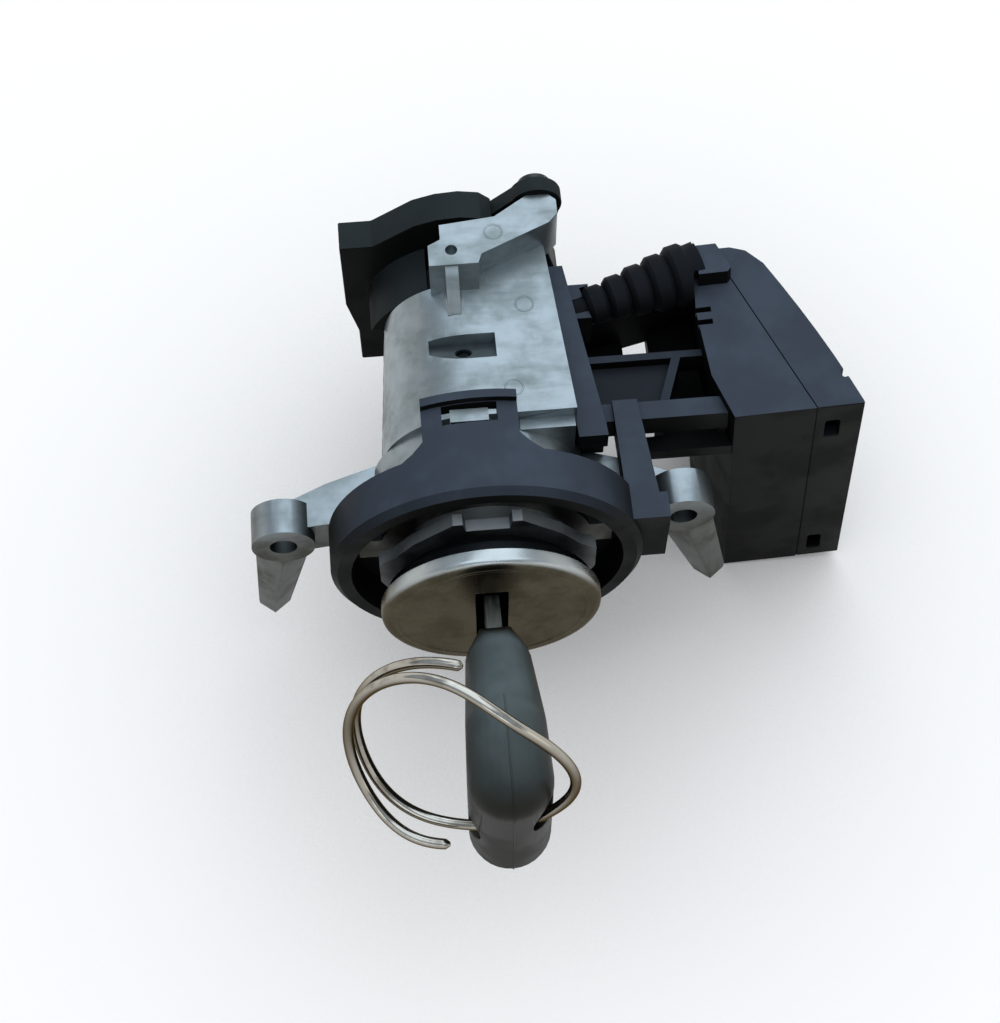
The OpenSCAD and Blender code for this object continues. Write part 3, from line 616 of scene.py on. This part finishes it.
@dataclass(frozen=True)
class Moulding:
    """Moulded plastic: eroded fine grain, slow sheen changes, pale scuffs, and painted light on its faces
    that look up.
    """

    name: str
    colour: Colour
    scuff: Colour
    top_light: Colour
    rough: tuple[float, float] = (0.42, 0.6)
    grain_mm: float = 0.22
    grain_depth: float = 0.03
    level: float = 0.5
    top_light_from: tuple[float, float] = (0.0, 9.0)
    top_light_along: tuple[float, float] | None = None

    def build(self) -> bpy.types.Material:
        """Returns the material."""
        g = Graph(self.name)
        grain = g.noise(self.grain_mm, 2.0, 0.65)
        slow = g.spread(g.noise(9.0, 3.0, 0.55), 0.35, 0.7)
        line = g.noise(0.7, 2.0, 0.7, g.stretched((1.0, 0.1, 1.0), (0, 0, 40)))
        wear = g.sum(g.spread(line, 0.62, 0.78), slow, "MULTIPLY")
        share = g.sum(g.sum(slow, 0.3, "MULTIPLY"), g.sum(wear, 0.5, "MULTIPLY"))
        skin = g.bump(grain, self.grain_depth, 0.35, g.bump(g.noise(5.0, 1.0, 0.4), 0.05, 0.12))
        clean = g.blend(share, self.colour, self.scuff)
        # Painted light: faces that look up and lie high are lightened towards the top light colour.
        lit_upper = g.sum(g.upward(0.25, 0.9), g.height(*self.top_light_from), "MULTIPLY")
        # Where a range along the lock axis is given, the painted light fades out towards one end, leaving
        # that end darker as painted shade.
        if self.top_light_along:
            lit_upper = g.sum(lit_upper, g.height(*self.top_light_along, "Y"), "MULTIPLY")
        lit_share = g.sum(lit_upper, g.spread(slow, 0.0, 1.0, 0.75, 1.0), "MULTIPLY")
        return g.finish(Base_Color=g.blend(lit_share, clean, self.top_light), Metallic=0.0,
                        Roughness=g.spread(slow, 0.0, 1.0, *self.rough), Specular_IOR_Level=self.level,
                        Normal=skin)


@dataclass(frozen=True)
class Lacquer:
    """Circuit board: green lacquer over copper tracks."""

    name: str
    colour: Colour
    track: Colour

    def build(self) -> bpy.types.Material:
        """Returns the material."""
        g = Graph(self.name)
        bricks = g.add("ShaderNodeTexBrick", offset=0.5)
        g.feed(bricks, "Vector", g.stretched((1.0, 1.0, 1.0), (90, 0, 21)))
        g.feed(bricks, "Scale", 260.0)
        g.feed(bricks, "Mortar Size", 0.05)
        paths = bricks.outputs["Fac"]
        return g.finish(Base_Color=g.blend(paths, self.colour, self.track), Roughness=0.25, Coat_Weight=0.4,
                        Normal=g.bump(paths, 0.03, 0.5))


@dataclass
class Finishes:
    """Every finish of the object, built once."""

    cast: bpy.types.Material = field(init=False)
    nickel: bpy.types.Material = field(init=False)
    case: bpy.types.Material = field(init=False)
    dark: bpy.types.Material = field(init=False)
    steel: bpy.types.Material = field(init=False)
    blade: bpy.types.Material = field(init=False)
    screw: bpy.types.Material = field(init=False)
    wire: bpy.types.Material = field(init=False)
    brass: bpy.types.Material = field(init=False)
    copper: bpy.types.Material = field(init=False)
    black: bpy.types.Material = field(init=False)
    switch: bpy.types.Material = field(init=False)
    ivory: bpy.types.Material = field(init=False)
    grip: bpy.types.Material = field(init=False)
    rubber: bpy.types.Material = field(init=False)
    board: bpy.types.Material = field(init=False)
    chip: bpy.types.Material = field(init=False)

    def __post_init__(self) -> None:
        """Builds the materials."""
        # Cast zinc: its last colour is painted shade on faces that don't look up.
        self.cast = CastMetal(
            "cast_zinc", colour=(0.325, 0.365, 0.385), stain=(0.17, 0.20, 0.19),
            painted_shade=(0.042, 0.041, 0.03)).build()
        # Satin nickel: its dark olive colours stand in for a dark warm reflection on the cap's face; its rim
        # colour is partly wear from handling, partly a painted highlight.
        self.nickel = SpunMetal(
            "satin_nickel", colour=(0.085, 0.076, 0.054), shade=(0.055, 0.049, 0.032),
            rim_wear_and_highlight=(0.46, 0.49, 0.49), rim_mm=15.7, edge=(0.72, 0.67, 0.61)).build()
        # Cylinder case: it lies wholly below the heights given, so every face that doesn't look up takes the
        # painted shade.
        self.case = CastMetal(
            "case_metal", colour=(0.62, 0.65, 0.66), stain=(0.44, 0.46, 0.45), painted_shade=(0.026, 0.03, 0.029),
            rough=(0.36, 0.5), metal=0.55, painted_shade_from=(40.0, 30.0)).build()
        # Dark metal: its near-black colours stand in for the shade on the plug's flange between cap and crown
        # and in the key slot.
        self.dark = SpunMetal(
            "dark_metal", colour=(0.014, 0.016, 0.018), shade=(0.008, 0.009, 0.01), rough=(0.34, 0.52),
            edge=(0.12, 0.12, 0.13)).build()
        self.steel = DrawnMetal("bright_steel", (0.56, 0.57, 0.58), (0.38, 0.39, 0.40)).build()
        self.blade = DrawnMetal(
            "nickel_silver", (0.17, 0.175, 0.16), (0.10, 0.10, 0.085), rough=(0.3, 0.5)).build()
        self.screw = DrawnMetal("black_screw", (0.05, 0.052, 0.055), (0.03, 0.03, 0.032)).build()
        # Nickel wire: its second colour is wear in patches and painted shade on faces that don't look up.
        self.wire = PlatedWire("nickel_wire", (0.50, 0.475, 0.42), (0.086, 0.067, 0.043)).build()
        self.brass = DrawnMetal("brass", (0.72, 0.55, 0.25), (0.55, 0.40, 0.18)).build()
        self.copper = DrawnMetal("copper", (0.66, 0.34, 0.20), (0.45, 0.22, 0.13)).build()
        # Mouldings: their third colour is painted light on faces that look up.
        self.black = Moulding(
            "black_moulding", colour=(0.0042, 0.0042, 0.0036), scuff=(0.0095, 0.0098, 0.009),
            top_light=(0.069, 0.083, 0.108), rough=(0.48, 0.64), level=0.08).build()
        self.switch = Moulding(
            "switch_moulding", colour=(0.0036, 0.004, 0.0036), scuff=(0.009, 0.01, 0.0092),
            top_light=(0.027, 0.034, 0.036), rough=(0.48, 0.66), level=0.08).build()
        self.ivory = Moulding(
            "ivory_moulding", colour=(0.62, 0.58, 0.48), scuff=(0.5, 0.46, 0.38),
            top_light=(0.6, 0.56, 0.47)).build()
        # Key head: the painted light fades out towards the head's end, which stays darker as painted shade.
        self.grip = Moulding(
            "key_moulding", colour=(0.019, 0.018, 0.012), scuff=(0.033, 0.032, 0.025),
            top_light=(0.128, 0.155, 0.155), rough=(0.42, 0.56), grain_mm=0.3, grain_depth=0.02, level=0.12,
            top_light_from=(-2.0, 5.0), top_light_along=(-52.0, -34.0)).build()
        self.rubber = Moulding(
            "boot_rubber", colour=(0.0026, 0.003, 0.0036), scuff=(0.007, 0.0078, 0.009),
            top_light=(0.009, 0.011, 0.014), rough=(0.6, 0.78), grain_mm=0.5, grain_depth=0.05,
            level=0.12).build()
        self.board = Lacquer("board_lacquer", (0.02, 0.10, 0.05), (0.08, 0.22, 0.10)).build()
        self.chip = Moulding(
            "chip_moulding", colour=(0.012, 0.012, 0.012), scuff=(0.03, 0.03, 0.03),
            top_light=(0.014, 0.014, 0.014), rough=(0.3, 0.45), grain_mm=0.15, grain_depth=0.01).build()


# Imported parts


def smooth_by_angle() -> bpy.types.NodeTree:
    """Node group that shades a mesh smooth and keeps its steeper edges sharp.

    Returns:
        The group, for a modifier.
    """
    group = bpy.data.node_groups.new("smooth_by_angle", "GeometryNodeTree")
    group.interface.new_socket("Geometry", in_out="INPUT", socket_type="NodeSocketGeometry")
    group.interface.new_socket("Geometry", in_out="OUTPUT", socket_type="NodeSocketGeometry")
    nodes, links = group.nodes, group.links
    start, end = nodes.new("NodeGroupInput"), nodes.new("NodeGroupOutput")
    faces, edges = nodes.new("GeometryNodeSetShadeSmooth"), nodes.new("GeometryNodeSetShadeSmooth")
    edges.domain = "EDGE"
    angle, limit = nodes.new("GeometryNodeInputMeshEdgeAngle"), nodes.new("FunctionNodeCompare")
    limit.operation = "LESS_THAN"
    limit.inputs["B"].default_value = math.radians(SMOOTH_DEG)
    links.new(start.outputs[0], faces.inputs["Geometry"])
    links.new(faces.outputs[0], edges.inputs["Geometry"])
    links.new(angle.outputs["Unsigned Angle"], limit.inputs["A"])
    links.new(limit.outputs[0], edges.inputs["Shade Smooth"])
    links.new(edges.outputs[0], end.inputs[0])
    return group


@dataclass
class PackedParts:
    """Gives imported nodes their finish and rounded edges."""

    nodes: dict[str, bpy.types.Object]
    group: bpy.types.NodeTree = field(default_factory=smooth_by_angle)

    def dress(self, node: str, material: bpy.types.Material, edge: Edge) -> None:
        """Puts a finish and a rounding on one node.

        Args:
            node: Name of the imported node.
            material: Its finish.
            edge: Size of its rounded edges.
        """
        part = self.nodes[node]
        for slot in part.material_slots:
            slot.material = material
        if not part.material_slots:
            part.data.materials.append(material)
        weld = part.modifiers.new("weld", "WELD")
        weld.merge_threshold = WELD_M
        bevel = part.modifiers.new("rounding", "BEVEL")
        bevel.width = edge.value * MM
        bevel.segments = 2
        bevel.limit_method = "ANGLE"
        bevel.angle_limit = math.radians(BEVEL_DEG)
        bevel.use_clamp_overlap = True
        bevel.miter_outer = "MITER_ARC"
        shade = part.modifiers.new("shading", "NODES")
        shade.node_group = self.group
        even = part.modifiers.new("even_normals", "WEIGHTED_NORMAL")
        even.keep_sharp = True
        LOG.info("%s: dressed with %s", node, material.name)


# Sub-assemblies


@dataclass
class LockCasting:
    """The cast housing: finish, fillets at the rib's foot, parting line, ejector marks and bolt spring."""

    finishes: Finishes
    parts: PackedParts
    top: float = 17.0
    block_y: float = 10.0
    block_end: float = 32.8
    block_half: float = 14.3
    draft: float = 4.2
    seam_z: float = 3.7
    arm_top: float = 22.0
    rib_start: float = 27.4
    rib_sides: tuple[float, float] = (-2.9, -1.0)
    fillet: float = 0.6
    fillet_end: float = 1.2
    fillet_grow: float = 2.5
    seam_inset: float = 0.3
    seam_size: tuple[float, float] = (0.5, 0.16)
    seam_waver: tuple[float, float, float] = (0.03, 2.3, 0.7)
    mark_r: float = 1.3
    mark_rim: tuple[float, float] = (0.3, 0.07)
    spring_y: float = 29.9
    spring_r: float = 2.2
    spring_wire: float = 0.7
    spring_turns: float = 5.0
    spring_closing: float = 0.105
    spring_gap: float = 0.05
    spring_ends: tuple[float, float] = (5.35, 14.45)
    bolt_lift: float = 4.0

    def build(self) -> None:
        """Dresses the casting's nodes and adds its details."""
        f = self.finishes
        self.parts.dress("lock_housing", f.cast, Edge.CAST)
        self.parts.dress("retaining_pin", f.dark, Edge.STAMPED)
        self.parts.dress("bolt_guide", f.steel, Edge.STAMPED)
        self.parts.dress("lock_bolt", f.steel, Edge.MOULDED)
        self.bolt_coil()
        self.rib_fillets()
        self.parting_line()
        self.ejector_marks()

    def bolt_coil(self) -> None:
        """Bolt's spring: radius times cosine and sine of the turn, its rise slowed by a sine at both ends.
        """
        t = np.linspace(0, 1, 200)
        a = 2 * np.pi * self.spring_turns * t
        low = self.spring_ends[0] + 0.5 * self.spring_wire
        high = self.spring_ends[1] - 0.5 * self.spring_wire - self.spring_gap
        rise = low + (high - low) * (t - self.spring_closing * np.sin(2 * np.pi * t))
        path = np.stack([self.spring_r * np.cos(a), self.spring_y + self.spring_r * np.sin(a), rise], axis=1)
        grid = carry(path, round_profile(self.spring_wire, self.spring_wire, 10), UP)
        made = piece("bolt_coil", grid, Body.HOUSING, self.finishes.steel)
        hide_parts("bolt_spring")
        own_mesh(made)

    def rib_fillets(self) -> None:
        """Fillets on both sides of the rib, carried along its foot and growing from its front end."""
        for label, x, turn in (("left", self.rib_sides[0], -1), ("right", self.rib_sides[1], 1)):
            y = np.linspace(self.rib_start, self.block_end - self.fillet_end, 16)[::turn]
            path = np.stack([np.full(y.size, x), y, np.full(y.size, self.top)], axis=1)
            grow = np.clip((y - self.rib_start) / self.fillet_grow, 0.12, 1.0)
            grid = carry(path, fillet_profile(self.fillet), UP, grow)
            piece(f"rib_fillet_{label}", grid, Body.HOUSING, self.finishes.cast)

    def parting_line(self) -> None:
        """Flash line of the die, carried along the block's left side and wavering by a product of sines."""
        y = np.array([self.block_y + self.seam_inset, self.block_end - self.seam_inset])
        x = -(self.block_half - math.tan(math.radians(self.draft)) * (y - self.block_y))
        ends = np.stack([x, y, np.full(2, self.seam_z)], axis=1)
        path = along(ends, 60)
        size, fast, slow = self.seam_waver
        path[:, 0] += size * np.sin(path[:, 1] * fast) * np.sin(path[:, 1] * slow)
        grid = carry(path, hump_profile(*self.seam_size), np.array([-1.0, 0.0, 0.0]))
        piece("parting_line", grid, Body.HOUSING, self.finishes.cast)

    def ejector_marks(self) -> None:
        """Low round rims left by the ejector pins, turned about upright axes."""
        rim = hump_profile(*self.mark_rim) + np.array([self.mark_r, 0.0])
        spots = ((5.6, 14.2, self.top), (8.4, 28.4, self.top), (4.6, 38.2, self.arm_top))
        for number, spot in enumerate(spots):
            grid = lathe(rim, np.array(spot), UP, 40)
            piece(f"ejector_mark_{number}", grid, Body.HOUSING, self.finishes.cast, ring=True)


@dataclass
class LockCylinder:
    """The turning cylinder with its cap, crown and shaft."""

    finishes: Finishes
    parts: PackedParts
    cap_y: float = -13.5
    step_r: float = 13.9
    step_size: tuple[float, float] = (0.7, 0.09)

    def build(self) -> None:
        """Dresses the cylinder's nodes and adds the cap's step."""
        f = self.finishes
        self.parts.dress("face_cap", f.nickel, Edge.STAMPED)
        self.parts.dress("cylinder_case", f.case, Edge.MOULDED)
        self.parts.dress("cylinder_plug", f.dark, Edge.STAMPED)
        self.parts.dress("plug_clip", f.steel, Edge.FINE)
        self.parts.dress("wafers", f.brass, Edge.FINE)
        self.parts.dress("drive_shaft", f.steel, Edge.FINE)
        self.cap_step()

    def cap_step(self) -> None:
        """Spun step near the cap's rim: a low hump turned about the lock axis."""
        rim = hump_profile(*self.step_size) + np.array([self.step_r, 0.0])
        grid = lathe(rim, np.array([0.0, self.cap_y, 0.0]), np.array([0.0, -1.0, 0.0]), 96)
        piece("cap_step", grid, Body.ROTOR, self.finishes.nickel, ring=True)


@dataclass
class IgnitionKey:
    """The key with its moulded head, blade and loose split ring."""

    finishes: Finishes
    parts: PackedParts
    ring_centre: tuple[float, float, float] = (-6.5, -38.4, 11.8)
    ring_lean: float = -51.3
    ring_tip: float = 60.9
    ring_start: float = 40.0
    ring_r: float = 15.0
    ring_turns: float = 1.5
    ring_pitch: float = 2.4
    wire: float = 1.5
    ring_level: float = 250.0
    seam: float = 0.22
    seam_ends: tuple[float, float] = (64.0, 296.0)
    ring_bends: tuple[tuple[float, float, float, float], ...] = (
        (0.42, 0.07, 0.8, 1.6), (0.74, 0.045, 1.3, -0.4), (0.91, 0.07, -1.0, 2.0),
        (1.41, 0.08, 1.6, 0.0), (1.45, 0.06, 0.0, 2.5))
    head_circles: tuple[tuple[float, float, float], ...] = (
        (-42.6, 9.2, 5.9), (-35.2, 11.2, 5.5), (-24.3, 6.2, 4.7), (-18.7, 6.2, 0.2))

    def build(self) -> None:
        """Dresses the key's nodes, and makes the head's moulding line and the split ring."""
        f = self.finishes
        self.parts.dress("key_head", f.grip, Edge.MOULDED)
        self.parts.dress("key_blade", f.blade, Edge.FINE)
        self.parts.dress("transponder_chip", f.chip, Edge.FINE)
        self.moulding_line()
        self.split_ring()

    def moulding_line(self) -> None:
        """Fine seam round the head: each way, its outline is the farthest point of the spanning circles."""
        c = np.array(self.head_circles)
        c = np.concatenate([c, c * [1, -1, 1]])
        a = arc(*self.seam_ends, 240)
        way = np.stack([np.cos(a), np.sin(a)], axis=1)
        far = np.argmax(way @ c[:, :2].T + c[:, 2], axis=1)
        flat = c[far, :2] + (c[far, 2:] + 0.01) * way
        path = along(np.stack([np.zeros(a.size), flat[:, 0], flat[:, 1]], axis=1), 160)
        grid = carry(path, round_profile(self.seam, self.seam, 8), np.array([1.0, 0.0, 0.0]))
        piece("head_moulding_line", grid, Body.KEY, self.finishes.grip)

    def split_ring(self) -> None:
        """Wire wound one and a half turns: radius times cosine and sine of the turn, rising, then leaned.

        Each bend of the used ring adds a bell curve, at one turn and of one width, to radius and rise.
        """
        t = np.linspace(0, self.ring_turns, 260)
        a = 2 * np.pi * t
        centre, width, out, lift = np.array(self.ring_bends).T
        bell = np.exp(-0.5 * ((t[:, None] - centre) / width) ** 2)
        r = self.ring_r + bell @ out
        rise = self.ring_pitch * (t - (self.ring_level - self.ring_start) / 360) + bell @ lift
        path = np.stack([r * np.cos(a), r * np.sin(a), rise], axis=1)
        lean, tip, start = (math.radians(d) for d in (self.ring_lean, self.ring_tip, self.ring_start))
        turn = np.array(Matrix.Rotation(lean, 3, "Y") @ Matrix.Rotation(tip, 3, "X")
                        @ Matrix.Rotation(start, 3, "Z"))
        path = path @ turn.T + np.array(self.ring_centre)
        end = np.minimum(t, self.ring_turns - t) * 2 * np.pi * self.ring_r
        taper = np.sqrt(np.clip(end / (0.4 * self.wire), 0.16, 1.0))
        grid = carry(path, round_profile(self.wire, self.wire * 1.04, 18), turn[:, 2], taper)
        made = piece("split_ring", grid, Body.RING, self.finishes.wire)
        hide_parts("key_ring")


@dataclass
class RearSwitch:
    """The electrical switch behind the housing."""

    finishes: Finishes
    parts: PackedParts

    def build(self) -> None:
        """Dresses the switch's nodes."""
        f = self.finishes
        self.parts.dress("switch_housing", f.switch, Edge.MOULDED)
        self.parts.dress("switch_cover", f.switch, Edge.MOULDED)
        self.parts.dress("switch_rotor", f.ivory, Edge.STAMPED)
        self.parts.dress("contact_bridges", f.copper, Edge.FINE)
        self.parts.dress("fixed_contacts", f.copper, Edge.FINE)
        self.parts.dress("switch_terminals", f.brass, Edge.FINE)
        self.parts.dress("switch_screws", f.screw, Edge.STAMPED)


@dataclass
class AntennaModule:
    """The antenna ring, its carrier, the module and the boot between them."""

    finishes: Finishes
    parts: PackedParts

    def build(self) -> None:
        """Dresses the antenna's and module's nodes."""
        f = self.finishes
        self.parts.dress("antenna_carrier", f.black, Edge.MOULDED)
        self.parts.dress("coil_retainer", f.black, Edge.STAMPED)
        self.parts.dress("antenna_coil", f.copper, Edge.FINE)
        self.parts.dress("module_cover", f.black, Edge.MOULDED)
        self.parts.dress("circuit_board", f.board, Edge.FINE)
        self.parts.dress("board_chips", f.chip, Edge.FINE)
        self.parts.dress("connector_pins", f.brass, Edge.FINE)
        self.parts.dress("lead_boot", f.rubber, Edge.MOULDED)
        self.parts.dress("antenna_lead", f.rubber, Edge.FINE)


# Studio


@dataclass
class Studio:
    """Pale floor, soft light and the camera at the photograph's angle."""

    low: float
    azimuth: float = -5.0
    elevation: float = 62.0
    place: tuple[float, float, float] = (-9.2, -131.5, 254.2)
    lens: float = 68.0
    sensor: float = 36.0
    aim: tuple[float, float, float] = (0.01, 0.0, 0.0)
    horizon: Colour = (0.13, 0.12, 0.095)
    zenith: Colour = (0.50, 0.57, 0.66)
    floor_colour: Colour = (0.34, 0.335, 0.325)
    glow: float = 0.78
    shadow_reach: float = 0.2
    shadow_power: float = 1.3
    shadow_samples: int = 3

    def build(self) -> None:
        """Makes the camera, lamps, world and floor."""
        self.camera()
        self.lamps()
        self.world()
        self.floor()

    def camera(self) -> None:
        """Camera of the photograph's view."""
        data = bpy.data.cameras.new("camera")
        data.lens = self.lens
        data.sensor_width = self.sensor
        data.clip_start = 0.01
        made = bpy.data.objects.new("camera", data)
        bpy.context.scene.collection.objects.link(made)
        a, e = math.radians(self.azimuth), math.radians(self.elevation)
        back = Vector((math.sin(a) * math.cos(e), -math.cos(a) * math.cos(e), math.sin(e)))
        made.location = Vector(self.place) * MM
        made.rotation_euler = (-back).to_track_quat("-Z", "Y").to_euler()
        bpy.context.scene.camera = made

    def lamp(self, name: str, place: tuple[float, float, float], size: tuple[float, float], colour: Colour,
             radiance: float) -> None:
        """One soft panel that faces the object.

        Args:
            name: Name of the lamp.
            place: Its place in metres.
            size: Its width and height in metres.
            colour: Colour of its light.
            radiance: Brightness of the panel itself.
        """
        data = bpy.data.lights.new(name, "AREA")
        data.shape = "RECTANGLE"
        data.size, data.size_y = size
        data.color = colour
        data.energy = radiance * math.pi * size[0] * size[1]
        made = bpy.data.objects.new(name, data)
        bpy.context.scene.collection.objects.link(made)
        made.location = place
        made.rotation_euler = (Vector(self.aim) - Vector(place)).to_track_quat("-Z", "Y").to_euler()

    def lamps(self) -> None:
        """A cool panel overhead, another behind, a weak warm one at the front right and a strip in front."""
        self.lamp("top_panel", (0.06, 0.06, 0.62), (0.62, 0.70), (0.84, 0.93, 1.0), 1.0)
        self.lamp("sky_panel", (0.10, 0.52, 0.44), (0.62, 0.40), (0.78, 0.90, 1.0), 1.3)
        self.lamp("room_panel", (0.48, -0.30, 0.22), (0.3, 0.3), (1.0, 0.93, 0.82), 0.4)
        self.lamp("front_strip", (-0.08, -0.56, 0.34), (0.34, 0.12), (0.86, 0.94, 1.0), 1.8)

    def world(self) -> None:
        """Cool light from above and dim warm light from the horizon."""
        made = bpy.data.worlds.new("studio")
        bpy.context.scene.world = made
        made.use_nodes = True
        tree = made.node_tree
        tree.nodes.clear()
        coords, split = tree.nodes.new("ShaderNodeTexCoord"), tree.nodes.new("ShaderNodeSeparateXYZ")
        ramp = tree.nodes.new("ShaderNodeValToRGB")
        ramp.color_ramp.elements[0].position = 0.05
        ramp.color_ramp.elements[0].color = (*self.horizon, 1)
        ramp.color_ramp.elements[1].position = 0.9
        ramp.color_ramp.elements[1].color = (*self.zenith, 1)
        light, output = tree.nodes.new("ShaderNodeBackground"), tree.nodes.new("ShaderNodeOutputWorld")
        links = tree.links
        links.new(coords.outputs["Generated"], split.inputs[0])
        links.new(split.outputs["Z"], ramp.inputs["Fac"])
        links.new(ramp.outputs["Color"], light.inputs["Color"])
        links.new(light.outputs[0], output.inputs["Surface"])

    def floor(self) -> None:
        """Pale floor with the lamps' shadow and a painted shadow from ambient occlusion: a disc whose edge
        curves up, turned about the upright axis.
        """
        side = np.array([[0.0, 0.0], [0.4, 0.0], [1.6, 0.0], [1.9, 0.05], [2.1, 0.2], [2.18, 0.45],
                         [2.2, 1.2]])
        a = arc(0, 360, 97)[:-1, None]
        r, z = side[:, 0], side[:, 1] + self.low
        points = np.stack([r * np.cos(a), r * np.sin(a), z + 0 * a], axis=-1)
        quads = grid_faces(a.size, len(side), True).reshape(a.size, len(side), 4)[:, :-1]
        mesh = bpy.data.meshes.new("floor")
        mesh.from_pydata(points.reshape(-1, 3).tolist(), [], quads.reshape(-1, 4).tolist())
        mesh.polygons.foreach_set("use_smooth", np.ones(len(mesh.polygons), dtype=bool))
        made = bpy.data.objects.new("floor", mesh)
        bpy.context.scene.collection.objects.link(made)
        g = Graph("pale_floor")
        g.finish(Base_Color=self.floor_colour, Roughness=0.9, Specular_IOR_Level=0.1)
        # Painted shadow: the glow seen by the camera and in reflections dims by ambient occlusion near the
        # object, over the lamps' own shadow.
        near = g.add("ShaderNodeAmbientOcclusion", samples=self.shadow_samples)
        g.feed(near, "Distance", self.shadow_reach)
        lit = g.add("ShaderNodeEmission")
        open_share = g.sum(near.outputs["AO"], self.shadow_power, "POWER")
        g.feed(lit, "Strength", g.sum(open_share, self.glow, "MULTIPLY"))
        both = g.add("ShaderNodeAddShader")
        g.feed(both, 0, g.shader.outputs[0])
        g.feed(both, 1, lit.outputs[0])
        path = g.add("ShaderNodeLightPath")
        seen = g.sum(path.outputs["Is Camera Ray"], path.outputs["Is Glossy Ray"], "MAXIMUM")
        seen = g.sum(seen, path.outputs["Is Transmission Ray"], "MAXIMUM")
        pick = g.add("ShaderNodeMixShader")
        for key, socket in enumerate((seen, g.shader.outputs[0], both.outputs[0])):
            g.feed(pick, key, socket)
        output = next(n for n in g.tree.nodes if n.type == "OUTPUT_MATERIAL")
        g.feed(output, "Surface", pick.outputs[0])
        mesh.materials.append(g.material)
        made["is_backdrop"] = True


def main() -> None:
    """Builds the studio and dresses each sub-assembly."""
    logging.basicConfig(level=logging.INFO, format="%(name)s: %(message)s")
    low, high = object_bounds()
    bpy.context.scene.view_settings.view_transform = "Standard"
    Studio(low=low.z - 0.0003).build()
    finishes = Finishes()
    parts = PackedParts(frame["nodes"])
    for made in (LockCasting(finishes, parts), LockCylinder(finishes, parts), IgnitionKey(finishes, parts),
                 RearSwitch(finishes, parts), AntennaModule(finishes, parts)):
        made.build()
        LOG.info("%s built", type(made).__name__)
    low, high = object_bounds()


if __name__ == "__main__":
    main()
